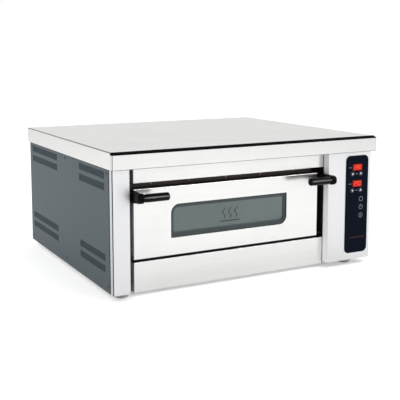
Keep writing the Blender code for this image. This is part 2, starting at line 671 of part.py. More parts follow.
def make_chamber():
    """Five liner plates; the side walls carry the ledges for the hearth."""
    left, right = X_CHAMBER_LEFT, X_CHAMBER_RIGHT
    block("chamber_floor", (left - LINER, Y_CHAMBER, Z_FLOOR - LINER),
          (right + LINER, Y_CHAMBER_REAR - GAP, Z_FLOOR), "chamber_steel")
    block("chamber_ceiling", (left - LINER, Y_CHAMBER, Z_CEILING),
          (right + LINER, Y_CHAMBER_REAR - GAP, Z_CEILING + LINER), "chamber_steel")
    rear = block("chamber_wall_rear", (left - LINER, Y_CHAMBER_REAR, Z_FLOOR - LINER),
                 (right + LINER, Y_CHAMBER_REAR + LINER, Z_CEILING + LINER), "chamber_steel")
    drill_back(rear, LINER)
    ledge_top = Z_HEARTH - HEARTH_THICKNESS - GAP
    low, high = Z_FLOOR + GAP, Z_CEILING - GAP
    for name, x, way in (("left", left, 1), ("right", right, -1)):
        outline = [(x, low), (x, ledge_top - LINER), (x + way * HEARTH_LEDGE, ledge_top - LINER),
                   (x + way * HEARTH_LEDGE, ledge_top), (x, ledge_top), (x, high),
                   (x - way * LINER, high), (x - way * LINER, low)]
        mesh = prism_mesh(outline, "Y", Y_CHAMBER, Y_CHAMBER_REAR - GAP)
        wall = add_object("chamber_wall_" + name, mesh, "chamber_steel", (x, Y_CHAMBER, low))
        if name == "right":
            drill_lamp(wall)


def make_mouth_frame():
    """The frame that the door closes against, with the chamber's mouth in it."""
    back = Y_FRAME + FRAME_THICKNESS
    low = (X_POST + GAP, Y_FRAME, Z_LOWER_PANEL + GAP)
    ob = block("mouth_frame", low, (X_COLUMN - GAP, back, Z_UPPER_PANEL - GAP), "dark_steel")
    hole = block_mesh((X_CHAMBER_LEFT, Y_FRAME - CUT_REACH, Z_HEARTH - MOUTH_BELOW_HEARTH),
                      (X_CHAMBER_RIGHT, back + CUT_REACH, Z_CEILING))
    cut(ob, "mouth", hole)


def make_hearth():
    """Two stone slabs, one behind the other, on the side walls' ledges."""
    low_z = Z_HEARTH - HEARTH_THICKNESS
    joint = (Y_CHAMBER + Y_CHAMBER_REAR) / 2
    spans = {"front": (Y_CHAMBER + HEARTH_SIDE_GAP, joint - GAP),
             "rear": (joint + GAP, Y_CHAMBER_REAR - HEARTH_SIDE_GAP)}
    for end, (near, far) in spans.items():
        block("hearth_stone_" + end, (X_CHAMBER_LEFT + HEARTH_SIDE_GAP, near, low_z),
              (X_CHAMBER_RIGHT - HEARTH_SIDE_GAP, far, Z_HEARTH), "hearth_stone")


def element_path(z):
    """A heating rod's path: parallel legs joined by half circles, both ends out at the back."""
    first = X_CHAMBER_LEFT + ELEMENT_INSET
    pitch = (X_CHAMBER_RIGHT - ELEMENT_INSET - first) / (ELEMENT_LEGS - 1)
    radius = pitch / 2
    near = Y_CHAMBER + ELEMENT_FRONT_INSET + radius
    far = Y_CHAMBER_REAR - ELEMENT_FRONT_INSET - radius
    tail = Y_CHAMBER_REAR + ELEMENT_TAIL
    points = [(first, tail, z)]
    for leg in range(ELEMENT_LEGS - 1):
        middle = first + (leg + 0.5) * pitch
        if leg % 2 == 0:
            bend = arc((middle, near), radius, 180, 360, 6)
        else:
            bend = arc((middle, far), radius, 180, 0, 6)
        points += [(x, y, z) for x, y in bend]
    points.append((first + (ELEMENT_LEGS - 1) * pitch, tail, z))
    return points


def make_elements():
    tube("upper_element", element_path(Z_UPPER_ELEMENT), ELEMENT_RADIUS, "element")
    tube("lower_element", element_path(Z_LOWER_ELEMENT), ELEMENT_RADIUS, "element")


def make_insulation():
    """Mineral wool round the chamber, open at the front, standing on the base tray."""
    gap = LINER + GAP
    left, right = X_CHAMBER_LEFT - gap, X_CHAMBER_RIGHT + gap
    low = (left - INSULATION, Y_CHAMBER, Z_UNDER + SHEET + GAP)
    ob = block("insulation_jacket", low, (right + INSULATION, Y_JACKET_REAR, Z_CEILING + gap + INSULATION),
               "mineral_wool")
    hollow = block_mesh((left, Y_CHAMBER - CUT_REACH, Z_FLOOR - gap),
                        (right, Y_CHAMBER_REAR + gap, Z_CEILING + gap))
    cut(ob, "jacket_hollow", hollow)
    drill_back(ob, INSULATION + LINER)
    drill_lamp(ob)


# ---- fittings -------------------------------------------------------------------------------
def make_rear_fittings():
    end = Y_BODY_REAR + STEAM_STICKOUT
    start = Y_CHAMBER_REAR
    profile = [(STEAM_BORE, start), (STEAM_RADIUS, start), (STEAM_RADIUS, end), (STEAM_BORE, end),
               (STEAM_BORE, start)]
    add_object("steam_outlet", turned_mesh(profile, (0, 1, 0), (X_STEAM, 0, Z_STEAM), 20), "stainless",
               (X_STEAM, start, Z_STEAM))
    near = Y_BODY_REAR - GLAND_BEHIND
    face = Y_BODY_REAR + GAP
    end = Y_BODY_REAR + GLAND_STICKOUT
    profile = [(0, near), (GLAND_RADIUS, near), (GLAND_RADIUS, face), (GLAND_NUT_RADIUS, face),
               (GLAND_NUT_RADIUS, face + GLAND_NUT), (GLAND_RADIUS, end), (0, end)]
    add_object("cable_gland", turned_mesh(profile, (0, 1, 0), (X_GLAND, 0, Z_GLAND)), "relay",
               (X_GLAND, near, Z_GLAND))
    tip = Y_CHAMBER_REAR - PROBE_REACH
    head = Y_JACKET_REAR + GAP
    profile = [(0, tip), (PROBE_RADIUS, tip), (PROBE_RADIUS, head), (PROBE_HEAD_RADIUS, head),
               (PROBE_HEAD_RADIUS, head + PROBE_HEAD), (0, head + PROBE_HEAD)]
    mesh = turned_mesh(profile, (0, 1, 0), (X_PROBE, 0, Z_UPPER_ELEMENT), 12)
    add_object("thermocouple", mesh, "pin_steel", (X_PROBE, tip, Z_UPPER_ELEMENT))


def make_lamp():
    face = X_CHAMBER_RIGHT - GAP
    tip = face - LAMP_FLANGE
    end = X_CHAMBER_RIGHT + LAMP_BODY
    profile = [(0, tip), (LAMP_FACE_RADIUS, tip), (LAMP_FLANGE_RADIUS, tip + LAMP_FLANGE_EDGE),
               (LAMP_FLANGE_RADIUS, face), (LAMP_RADIUS, face), (LAMP_RADIUS, end), (0, end)]
    add_object("chamber_lamp", turned_mesh(profile, (1, 0, 0), (0, Y_LAMP, Z_LAMP)), "lamp_glass",
               (tip, Y_LAMP, Z_LAMP))


def make_electrics():
    """What stands in the space beside the chamber, behind the control column."""
    x = X_COLUMN + DIVIDER_OFFSET
    block("electrics_divider", (x, Y_CHAMBER, Z_UNDER + TRAY_WALL),
          (x + SHEET, Y_JACKET_REAR, Z_LIP - DIVIDER_CLEARANCE), "chamber_steel")
    middle = (X_COLUMN + X_BODY) / 2
    floor = Z_UNDER + SHEET + GAP
    wide, deep, tall = CONTACTOR_SIZE
    near = Y_CHAMBER + CONTACTOR_FROM_FRONT
    block("contactor", (middle - wide / 2, near, floor), (middle + wide / 2, near + deep, floor + tall),
          "relay", MOULDING_EDGE)
    wide, deep, tall = TERMINALS_SIZE
    block("terminal_block", (middle - wide / 2, Y_JACKET_REAR - deep, floor),
          (middle + wide / 2, Y_JACKET_REAR, floor + tall), "relay", MOULDING_EDGE)


# ---- control panel --------------------------------------------------------------------------
def make_control_panel():
    """The overlay with its windows, the two displays and the board behind them."""
    half = OVERLAY_WIDTH / 2
    outline = rounded_outline((X_OVERLAY - half, Z_OVERLAY), (X_OVERLAY + half, Z_OVERLAY_TOP),
                              [OVERLAY_RADIUS] * 4)
    back = Y_OVERLAY + OVERLAY_THICKNESS
    overlay = add_object("control_overlay", prism_mesh(outline, "Y", Y_OVERLAY, back), "overlay",
                         (X_OVERLAY, Y_OVERLAY, Z_OVERLAY))
    x = X_OVERLAY + DISPLAY_OFFSET
    wide, tall = DISPLAY_SIZE[0] / 2, DISPLAY_SIZE[1] / 2
    for name, drop in zip(("display_upper", "display_lower"), DISPLAY_DROPS):
        z = Z_OVERLAY_TOP - drop
        front = Y_OVERLAY + DISPLAY_RECESS
        block(name, (x - wide, front, z - tall), (x + wide, front + DISPLAY_DEPTH, z + tall), "display")
        low = (x - wide - GAP, Y_OVERLAY - CUT_REACH, z - tall - GAP)
        high = (x + wide + GAP, back + CUT_REACH, z + tall + GAP)
        cut(overlay, name + "_window", block_mesh(low, high))
    for name, x, z, radius in buttons():
        drill(overlay, name + "_hole", (x, Y_OVERLAY, z), (0, 1, 0), radius + BUTTON_CLEARANCE)
    margin = 2 * CUTOUT_MARGIN
    y = Y_POST + BOARD_BEHIND
    block("control_board", (X_OVERLAY - half, y, Z_OVERLAY + margin),
          (X_OVERLAY + half, y + BOARD_THICKNESS, Z_OVERLAY_TOP - margin), "board")


def buttons():
    """Name, X, Z and radius of every button."""
    found = []
    for row, drop in zip(("upper", "lower"), ARROW_DROPS):
        for way, offset in zip(("down", "up"), ARROW_OFFSETS):
            name = "button_%s_%s" % (row, way)
            found.append((name, X_OVERLAY + offset, Z_OVERLAY_TOP - drop, ARROW_RADIUS))
    for use, drop in zip(("program", "lamp", "power"), ROUND_DROPS):
        found.append(("button_" + use, X_OVERLAY + ROUND_OFFSET, Z_OVERLAY_TOP - drop, ROUND_RADIUS))
    return found


def make_buttons():
    """Each button slides straight back into the column."""
    front = Y_OVERLAY - BUTTON_PROUD
    back = Y_OVERLAY + BUTTON_BODY
    for name, x, z, radius in buttons():
        profile = [(0, front), (radius - BUTTON_EDGE, front), (radius, front + BUTTON_EDGE), (radius, back),
                   (0, back)]
        mesh = turned_mesh(profile, (0, 1, 0), (x, 0, z), 20)
        add_object(name, mesh, "button", (x, front, z))


# ---- door -----------------------------------------------------------------------------------
def make_door_shells(hinge):
    """The outer skin and the liner nested in it, both with the window cut out."""
    low = (X_DOOR_LEFT, Y_PANEL, Z_DOOR)
    high = (X_DOOR_RIGHT, Y_PANEL + SKIN_RETURN, Z_DOOR_TOP)
    skin = folded_tray("door_skin", low, high, ("+Y",), SHEET, "stainless", hinge)
    hole = prism_mesh(window_outline(0), "Y", Y_PANEL - CUT_REACH, Y_PANEL + CUT_REACH)
    cut(skin, "window_hole", hole)
    for side, x in (("left", X_DOOR_LEFT), ("right", X_DOOR_RIGHT)):
        name = "door_pin_hole_" + side
        drill(skin, name, (x, HINGE.y, HINGE.z), (1, 0, 0), PIN_RADIUS + PIN_CLEARANCE)
    inset = SHEET + GAP
    liner = folded_tray("door_liner", (X_DOOR_LEFT + inset, Y_DOOR_BACK - LINER_RETURN, Z_DOOR + inset),
                        (X_DOOR_RIGHT - inset, Y_DOOR_BACK, Z_DOOR_TOP - inset), ("-Y",), LINER,
                        "chamber_steel", hinge)
    outline = window_outline(LINER_WINDOW_GROWTH)
    cut(liner, "liner_window", prism_mesh(outline, "Y", Y_DOOR_BACK - CUT_REACH, Y_DOOR_BACK + CUT_REACH))


def make_door_window(hinge):
    """The dark bezel behind the skin and the two panes."""
    front = Y_PANEL + SHEET + GAP
    back = front + BEZEL_DEPTH
    mesh = prism_mesh(window_outline(BEZEL_LAP), "Y", front, back)
    bezel = add_object("window_bezel", mesh, "dark_steel", HINGE, hinge)
    pocket = prism_mesh(window_outline(0), "Y", front - CUT_REACH, front + BEZEL_POCKET)
    cut(bezel, "bezel_pocket", pocket)
    hole = prism_mesh(window_outline(-BEZEL_WIDTH), "Y", front - 2 * CUT_REACH, back + CUT_REACH)
    cut(bezel, "bezel_hole", hole)
    pane = back + GAP
    mesh = prism_mesh(window_outline(GLASS_LAP - BEZEL_WIDTH), "Y", pane, pane + GLASS_THICKNESS)
    add_object("window_glass_outer", mesh, "glass", HINGE, hinge)
    pane = Y_DOOR_BACK - LINER - GAP
    outline = window_outline(LINER_WINDOW_GROWTH + 2 * GLASS_LAP)
    mesh = prism_mesh(outline, "Y", pane - GLASS_THICKNESS, pane)
    add_object("window_glass_inner", mesh, "glass", HINGE, hinge)


def make_door_seal(hinge):
    """A flat rope seal on the door's back, round the chamber's mouth."""
    near = Y_DOOR_BACK + GAP
    inner_low = (X_CHAMBER_LEFT - GASKET_CLEARANCE, Z_HEARTH - MOUTH_BELOW_HEARTH - GASKET_CLEARANCE)
    inner_high = (X_CHAMBER_RIGHT + GASKET_CLEARANCE, Z_CEILING + GASKET_CLEARANCE)
    outer_low = [value - GASKET_WIDTH for value in inner_low]
    outer_high = [value + GASKET_WIDTH for value in inner_high]
    outline = rounded_outline(outer_low, outer_high, [GASKET_RADIUS_OUTER] * 4, 4)
    mesh = prism_mesh(outline, "Y", near, near + GASKET_THICKNESS)
    seal = add_object("door_seal", mesh, "seal", HINGE, hinge)
    hole = rounded_outline(inner_low, inner_high, [GASKET_RADIUS_INNER] * 4, 4)
    cut(seal, "seal_hole", prism_mesh(hole, "Y", near - CUT_REACH, near + 2 * CUT_REACH))


def make_handle(side, x_inner, x_outer, inward, hinge):
    """A lever arm that widens into the door's slot, and the grip that points inward from its eye."""
    tail = Y_PANEL + ARM_TAIL
    outline = arc((Y_GRIP, Z_GRIP), ARM_EYE_RADIUS, *ARM_EYE_ANGLES, 16)
    outline += [(tail, Z_GRIP - ARM_ROOT_BELOW), (tail, Z_GRIP + ARM_ROOT_ABOVE)]
    mesh = prism_mesh(outline, "X", min(x_inner, x_outer), max(x_inner, x_outer), smooth=True)
    arm = add_object("handle_arm_" + side, mesh, "bakelite", HINGE, hinge)
    ease(arm, ARM_EDGE, 2)
    root = x_inner + inward * GAP
    mesh = turned_mesh(GRIP_PROFILE, (inward, 0, 0), (root, Y_GRIP, Z_GRIP), 20)
    add_object("handle_grip_" + side, mesh, "bakelite", HINGE, hinge)


def make_hinge(side, x_wall, x_door, inward, hinge):
    """A headed pin fixed in the slot's wall, and the spring on it inside the door."""
    head_end = x_wall - inward * (SHEET + GAP)
    tip = x_door + inward * PIN_IN_DOOR
    length = abs(tip - head_end)
    profile = [(0, -PIN_HEAD), (PIN_HEAD_RADIUS, -PIN_HEAD), (PIN_HEAD_RADIUS, 0), (PIN_RADIUS, 0),
               (PIN_RADIUS, length), (0, length)]
    mesh = turned_mesh(profile, (inward, 0, 0), (head_end, HINGE.y, HINGE.z), 16)
    add_object("hinge_pin_" + side, mesh, "pin_steel", (head_end, HINGE.y, HINGE.z))
    start = x_door + inward * SPRING_START
    steps = SPRING_STEPS * SPRING_TURNS
    points = []
    for i in range(steps + 1):
        turn = math.tau * SPRING_TURNS * i / steps
        points.append((start + inward * SPRING_LENGTH * i / steps, HINGE.y + SPRING_RADIUS * math.cos(turn),
                       HINGE.z + SPRING_RADIUS * math.sin(turn)))
    tube("hinge_spring_" + side, points, SPRING_WIRE_RADIUS, "pin_steel", hinge, HINGE)


def make_door():
    """The door and all that swings with it, hung on an empty on the hinge axis."""
    hinge = add_empty("door_hinge_axis", HINGE)
    make_door_shells(hinge)
    make_door_window(hinge)
    make_door_seal(hinge)
    make_handle("left", X_DOOR_LEFT - GAP, X_DOOR_LEFT - GAP - ARM_WIDTH, 1, hinge)
    make_handle("right", X_DOOR_RIGHT + GAP, X_DOOR_RIGHT + GAP + ARM_WIDTH, -1, hinge)
    make_hinge("left", X_POST, X_DOOR_LEFT, 1, hinge)
    make_hinge("right", X_COLUMN, X_DOOR_RIGHT, -1, hinge)


def main():
    clear_scene()
    make_base_tray()
    make_feet()
    make_side_panel("side_panel_left", -1)
    make_side_panel("side_panel_right", 1)
    make_rear_panel()
    make_top_cover()
    make_front_edge()
    make_posts()
    make_front_panels()
    make_slot_plates()
    make_chamber()
    make_mouth_frame()
    make_hearth()
    make_elements()
    make_insulation()
    make_rear_fittings()
    make_lamp()
    make_electrics()
    make_control_panel()
    make_buttons()
    make_door()


main()
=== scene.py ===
"""Looks of the single-deck electric oven: casing, door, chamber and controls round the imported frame."""
import math

import bmesh
import bpy
from bpy.props import FloatProperty, FloatVectorProperty, IntProperty, PointerProperty
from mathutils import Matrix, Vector


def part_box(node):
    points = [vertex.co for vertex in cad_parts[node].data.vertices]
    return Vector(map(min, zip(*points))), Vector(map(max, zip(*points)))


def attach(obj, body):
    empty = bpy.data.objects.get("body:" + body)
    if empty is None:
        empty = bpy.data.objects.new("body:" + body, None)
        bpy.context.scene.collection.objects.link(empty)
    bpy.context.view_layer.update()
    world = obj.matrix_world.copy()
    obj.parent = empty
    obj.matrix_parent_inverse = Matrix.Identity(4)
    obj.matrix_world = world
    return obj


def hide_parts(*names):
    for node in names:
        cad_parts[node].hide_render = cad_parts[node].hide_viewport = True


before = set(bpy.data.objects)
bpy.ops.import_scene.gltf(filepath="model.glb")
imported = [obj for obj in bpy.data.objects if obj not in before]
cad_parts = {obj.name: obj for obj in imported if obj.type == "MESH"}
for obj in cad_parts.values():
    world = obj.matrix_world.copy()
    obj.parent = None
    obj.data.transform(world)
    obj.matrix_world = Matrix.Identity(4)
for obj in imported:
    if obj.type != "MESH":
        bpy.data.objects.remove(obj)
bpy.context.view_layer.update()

bl_info = {
    "name": "Deck Oven Looks",
    "version": (1, 0, 0),
    "blender": (4, 5, 0),
    "location": "View3D > Sidebar > Deck Oven",
    "description": "Builds the finished surfaces, fittings and stage of a single-deck electric oven",
    "category": "Add Mesh",
}

CASING = "casing"
DOOR = "door"
LIFT = 0.00006              # thickness of a printed mark
GAP = 0.0003                # clearance between neighbouring pieces
REACH = 0.01                # how far a cutter stands clear of what it cuts
FLAT = 0.985                # a normal's largest part, above which a face is flat and not in a fold
TOWARDS = 0.9               # a normal's part along an axis, above which a face looks that way
NEAR = 0.002                # how close to a plane a face belongs to it
OVERLAP = 0.001             # how far slats run on behind the edges of their opening
HARD_EDGE = 55              # degrees between faces, above which an edge is eased


# ---- settings -------------------------------------------------------------------------------
def length(name, default, description):
    """A length property in metres."""
    return FloatProperty(name=name, default=default, min=0.0, unit="LENGTH", precision=4,
                         description=description)


def colour(name, default, description):
    """A linear colour property."""
    return FloatVectorProperty(name=name, default=default, size=3, min=0.0, max=1.0, subtype="COLOR",
                               description=description)


def amount(name, default, description, **more):
    """A plain number property."""
    return FloatProperty(name=name, default=default, description=description, **more)


def power(name, default, description):
    """A light's power property."""
    return amount(name, default, description, min=0.0, subtype="POWER")


def reading(name, default):
    """A temperature that a display shows."""
    return IntProperty(name=name, default=default, min=0, max=999, description="Number shown, in degrees")


class CasingSettings(bpy.types.PropertyGroup):
    sheet: length("Sheet", 0.0012, "Thickness of the casing's sheet")
    cover_bend: length("Cover bend", 0.0030, "Outer radius of the top cover's folds")
    panel_bend: length("Panel bend", 0.0018, "Outer radius of the front panels' folds")
    post_bend: length("Post bend", 0.0026, "Outer radius of the posts' folds")
    slit_pitch: length("Slit pitch", 0.0062, "Distance between neighbouring vent slits")
    slit_width: length("Slit width", 0.0024, "Width of one vent slit")
    slit_inset: length("Slat inset", 0.0002, "How far the slats stand behind the panel's face")
    screw_radius: length("Screw head", 0.0042, "Radius of a screw's head")
    steel: colour("Steel", (0.83, 0.83, 0.82), "Colour of the brushed stainless sheet")
    side_paint: colour("Side paint", (0.062, 0.086, 0.100), "Colour of the painted side and back panels")
    foot_colour: colour("Feet", (0.40, 0.40, 0.39), "Colour of the moulded feet")


class DoorSettings(bpy.types.PropertyGroup):
    bend: length("Door bend", 0.0022, "Outer radius of the door skin's folds")
    window_rim: length("Window rim", 0.0012, "Rounding of the bezel's and skin's window edges")
    border_foot: length("Border foot", 0.0050, "Extra width of the glass border along its foot")
    mark_width: length("Mark width", 0.076, "Width of the plain heat symbol on the glass")
    mark_line: length("Mark line", 0.0030, "Line width of the heat symbol")
    grip_waist: length("Grip waist", 0.0118, "Radius of the grips where they meet their collars")
    glass: colour("Glass", (0.130, 0.165, 0.165), "Tint of the coated glass")
    bezel: colour("Bezel", (0.040, 0.052, 0.054), "Colour of the window's frame")
    handle: colour("Handles", (0.0015, 0.0015, 0.0018), "Colour of the moulded handles")
    seal: colour("Seal", (0.46, 0.44, 0.38), "Colour of the braided door seal")


class ControlSettings(bpy.types.PropertyGroup):
    overlay: colour("Overlay", (0.0008, 0.0030, 0.0090), "Colour of the printed overlay")
    ink: colour("Ink", (0.62, 0.64, 0.66), "Colour of the overlay's light printing")
    line: colour("Line", (0.10, 0.011, 0.014), "Colour of the thin line low on the overlay")
    display: colour("Display", (0.37, 0.012, 0.005), "Colour of the lit displays")
    digit: colour("Digit", (0.90, 0.11, 0.06), "Colour of the displays' digits")
    digit_height: length("Digit height", 0.0135, "Height of a display's digits")
    digit_width: length("Digit width", 0.0070, "Width of a display's digits")
    upper_reading: reading("Upper reading", 280)
    lower_reading: reading("Lower reading", 250)


class StageSettings(bpy.types.PropertyGroup):
    floor: colour("Floor", (0.93, 0.93, 0.93), "Colour of the floor")
    lift: amount("Lift", 0.34, "Light that the floor gives back", min=0.0)
    sky: amount("Sky", 0.86, "Brightness that lights the scene", min=0.0)
    wall: amount("Walls", 0.83, "Brightness of the mirrored walls", min=0.0)
    ceiling: amount("Ceiling", 0.30, "Brightness of the mirrored ceiling", min=0.0)
    key: power("Key light", 22.0, "Power of the large front light")
    fill: power("Fill light", 9.0, "Power of the side light")
    rim: power("Rim light", 22.0, "Power of the light behind the left side")
    low: power("Low light", 2.4, "Power of the light on the floor in front")
    strip: power("Strip light", 11.0, "Power of the low strip light")
    lens: amount("Lens", 70.68, "Focal length in millimetres", min=1.0)
    stand: FloatVectorProperty(name="Camera", default=(-1.3554, -2.5405, 0.7614), size=3,
                               subtype="TRANSLATION", description="Where the camera stands")
    pan: amount("Pan", math.radians(-28.384), "The camera's turn to the left", subtype="ANGLE")
    tilt: amount("Tilt", math.radians(-7.301), "The camera's tilt below the horizon", subtype="ANGLE")
    rise: amount("Rise", -0.125, "The lens's vertical shift")


# ---- mesh helpers ---------------------------------------------------------------------------
def to_mesh(bm, angle=35.0):
    """A bmesh as a mesh, smooth except at edges sharper than the angle in degrees."""
    mesh = bpy.data.meshes.new("shape")
    bm.to_mesh(mesh)
    bm.free()
    mesh.shade_smooth()
    mesh.set_sharp_from_angle(angle=math.radians(angle))
    return mesh


def moved_verts(bm, geometry, step):
    """Move the vertices that an extrusion returned."""
    verts = [part for part in geometry if isinstance(part, bmesh.types.BMVert)]
    bmesh.ops.translate(bm, vec=step, verts=verts)


def box_mesh(low, high, open_sides=(), fold=0.0):
    """A box less its open sides, its remaining edges folded to a radius."""
    low, high = Vector(low), Vector(high)
    bm = bmesh.new()
    bmesh.ops.create_cube(bm, size=1.0)
    bmesh.ops.scale(bm, vec=high - low, verts=bm.verts)
    bmesh.ops.translate(bm, vec=(low + high) / 2, verts=bm.verts)
    bm.normal_update()
    gone = []
    for sign, axis in open_sides:
        way = 1 if sign == "+" else -1
        gone += [face for face in bm.faces if face.normal["XYZ".index(axis)] * way > TOWARDS]
    bmesh.ops.delete(bm, geom=gone, context="FACES")
    if fold:
        folds = [edge for edge in bm.edges if len(edge.link_faces) == 2]
        bmesh.ops.bevel(bm, geom=folds, offset=fold, segments=4, profile=0.5, affect="EDGES")
    return to_mesh(bm)


def prism_mesh(outline, axis, start, end, edge=0.0, segments=2):
    """An outline extruded along an axis, its edges eased when edge is given."""
    index = "XYZ".index(axis)
    bm = bmesh.new()
    ring = [bm.verts.new([*point[:index], start, *point[index:]]) for point in outline]
    grown_face = bmesh.ops.extrude_face_region(bm, geom=[bm.faces.new(ring)])["geom"]
    step = Vector((0, 0, 0))
    step[index] = end - start
    moved_verts(bm, grown_face, step)
    bmesh.ops.recalc_face_normals(bm, faces=bm.faces)
    if edge:
        rims = [e for e in bm.edges if e.calc_face_angle(0) > math.radians(60)]
        bmesh.ops.bevel(bm, geom=rims, offset=edge, segments=segments, profile=0.5, affect="EDGES",
                        clamp_overlap=True)
    return to_mesh(bm)


def turned_mesh(profile, axis, centre, segments=48):
    """A profile of (radius, distance along the axis) turned round an axis through a point."""
    bm = bmesh.new()
    closed = profile[0] == profile[-1]
    points = profile[:-1] if closed else profile
    verts = [bm.verts.new((radius, 0, along)) for radius, along in points]
    edges = [bm.edges.new(pair) for pair in zip(verts, verts[1:])]
    if closed:
        edges.append(bm.edges.new((verts[-1], verts[0])))
    bmesh.ops.spin(bm, geom=verts + edges, cent=(0, 0, 0), axis=(0, 0, 1), dvec=(0, 0, 0),
                   angle=math.tau, steps=segments, use_merge=True, use_duplicate=False)
    bmesh.ops.remove_doubles(bm, verts=bm.verts, dist=0.000001)
    bmesh.ops.recalc_face_normals(bm, faces=bm.faces)
    turn = Vector((0, 0, 1)).rotation_difference(Vector(axis)).to_matrix()
    bmesh.ops.rotate(bm, cent=(0, 0, 0), matrix=turn, verts=bm.verts)
    bmesh.ops.translate(bm, vec=centre, verts=bm.verts)
    return to_mesh(bm)


def ring_mesh(inner, outer, start, end, axis, centre, segments=48):
    """A flat-sided ring round an axis."""
    profile = [(inner, start), (outer, start), (outer, end), (inner, end), (inner, start)]
    return turned_mesh(profile, axis, centre, segments)


def peg_mesh(radius, centre, segments):
    """A round cutter along Y."""
    profile = [(0, -REACH), (radius, -REACH), (radius, REACH), (0, REACH)]
    return turned_mesh(profile, (0, 1, 0), centre, segments)


def axis_line(low, high):
    """Where a round piece's axis along Y passes Y = 0, for profiles that hold places along Y."""
    return (low.x + high.x) / 2, 0, (low.z + high.z) / 2


def joined(meshes):
    """Several meshes as one."""
    bm = bmesh.new()
    for mesh in meshes:
        bm.from_mesh(mesh)
        bpy.data.meshes.remove(mesh)
    return to_mesh(bm)


def points_mesh(points):
    """Loose points, for a geometry tree to start from."""
    mesh = bpy.data.meshes.new("points")
    mesh.from_pydata(points, [], [])
    return mesh


def arc(centre, radius, start, end, steps):
    """Points on an arc, angles in degrees."""
    turns = [math.radians(start + (end - start) * i / steps) for i in range(steps + 1)]
    return [(centre[0] + radius * math.cos(t), centre[1] + radius * math.sin(t)) for t in turns]


def rounded_outline(low, high, radii, steps=10):
    """A rectangle with a radius per corner: lower left, lower right, upper right, upper left."""
    corners = [(low[0], low[1], 1, 1), (high[0], low[1], -1, 1), (high[0], high[1], -1, -1),
               (low[0], high[1], 1, -1)]
    outline = []
    for i, ((a, b, way_a, way_b), radius) in enumerate(zip(corners, radii)):
        centre = (a + way_a * radius, b + way_b * radius)
        outline += arc(centre, radius, 180 + 90 * i, 270 + 90 * i, steps if radius > 0.004 else 3)
    return outline


def bar_mesh(low, high, start, end):
    """A flat printed bar with rounded ends."""
    radius = min(high[0] - low[0], high[1] - low[1]) * 0.45
    return prism_mesh(rounded_outline(low, high, [radius] * 4), "Y", start, end)


def face_outline(box, inset, radii, steps):
    """A rounded outline in X and Z, inset from a box's sides."""
    low, high = box
    return rounded_outline((low.x + inset, low.z + inset), (high.x - inset, high.z - inset), radii, steps)


def opening_mesh(box, inset, start, end):
    """A square cutter through a box's front, reaching past two places along Y."""
    low, high = box
    return box_mesh((low.x + inset, start - REACH, low.z + inset),
                    (high.x - inset, end + REACH, high.z - inset))


def section_mesh(corners, radius, low, high, steps=4):
    """A sheet from low to high that follows straight runs in X and Y, with an arc at each corner."""
    corners = [Vector(corner) for corner in corners]
    path = [corners[0]]
    for before, corner, after in zip(corners, corners[1:], corners[2:]):
        come = (corner - before).normalized()
        leave = (after - corner).normalized()
        centre = corner - come * radius + leave * radius
        for i in range(steps + 1):
            angle = math.pi / 2 * i / steps
            path.append(centre - leave * radius * math.cos(angle) + come * radius * math.sin(angle))
    path.append(corners[-1])
    bm = bmesh.new()
    foot, head = [[bm.verts.new((point.x, point.y, z)) for point in path] for z in (low, high)]
    for i in range(len(path) - 1):
        bm.faces.new((foot[i], foot[i + 1], head[i + 1], head[i]))
    return to_mesh(bm)


def pierced_mesh(rows, columns, windows, place):
    """A sheet's face between grid lines, open where a window is.  place turns (a, b) into a point."""
    bm = bmesh.new()
    a_cuts, b_cuts = (sorted(set(lines) | {corner[i] for window in windows for corner in window})
                      for i, lines in enumerate((columns, rows)))
    grid = {(i, j): bm.verts.new(place(a, b)) for i, a in enumerate(a_cuts) for j, b in enumerate(b_cuts)}
    for i in range(len(a_cuts) - 1):
        for j in range(len(b_cuts) - 1):
            a, b = (a_cuts[i] + a_cuts[i + 1]) / 2, (b_cuts[j] + b_cuts[j + 1]) / 2
            if not any(low[0] < a < high[0] and low[1] < b < high[1] for low, high in windows):
                bm.faces.new([grid[i, j], grid[i + 1, j], grid[i + 1, j + 1], grid[i, j + 1]])
    bmesh.ops.delete(bm, geom=[v for v in bm.verts if not v.link_faces], context="VERTS")
    return to_mesh(bm)


def tube_mesh(points, radius, sides):
    """A round bar along a line of points, closed at both ends."""
    curve = bpy.data.curves.new("bar", "CURVE")
    curve.dimensions = "3D"
    spline = curve.splines.new("POLY")
    spline.points.add(len(points) - 1)
    for slot, point in zip(spline.points, points):
        slot.co = (*point, 1.0)
    curve.bevel_depth = radius
    curve.bevel_resolution = sides
    curve.use_fill_caps = True
    holder = linked("bar", curve)
    mesh = bpy.data.meshes.new_from_object(holder.evaluated_get(bpy.context.evaluated_depsgraph_get()))
    bpy.data.objects.remove(holder)
    bpy.data.curves.remove(curve)
    mesh.shade_smooth()
    return mesh


def side_faces(mesh, index, test):
    """Give the faces whose centre and normal pass a test another material."""
    for face in mesh.polygons:
        if test(face.center, face.normal):
            face.material_index = index
    return mesh


def paint_fold_shade(mesh, index):
    """Give the sheet's rounded folds another material, a darker copy of the sheet as painted shade; the
    flat faces keep theirs.
    """
    return side_faces(mesh, index, lambda c, n: max(abs(n.x), abs(n.y), abs(n.z)) < FLAT)


def spread(low, high, count):
    """Evenly spread values, both ends included."""
    return [low + (high - low) * i / (count - 1) for i in range(count)]


def edge_points(low, high, inset, edge, count, y):
    """Points in two rows along a panel's lower and upper edges."""
    return [(x, y, z) for x in spread(low.x + inset, high.x - inset, count)
            for z in (low.z + edge, high.z - edge)]


# ---- pieces ---------------------------------------------------------------------------------
def linked(name, data):
    """A new object in the scene."""
    ob = bpy.data.objects.new(name, data)
    bpy.context.scene.collection.objects.link(ob)
    return ob


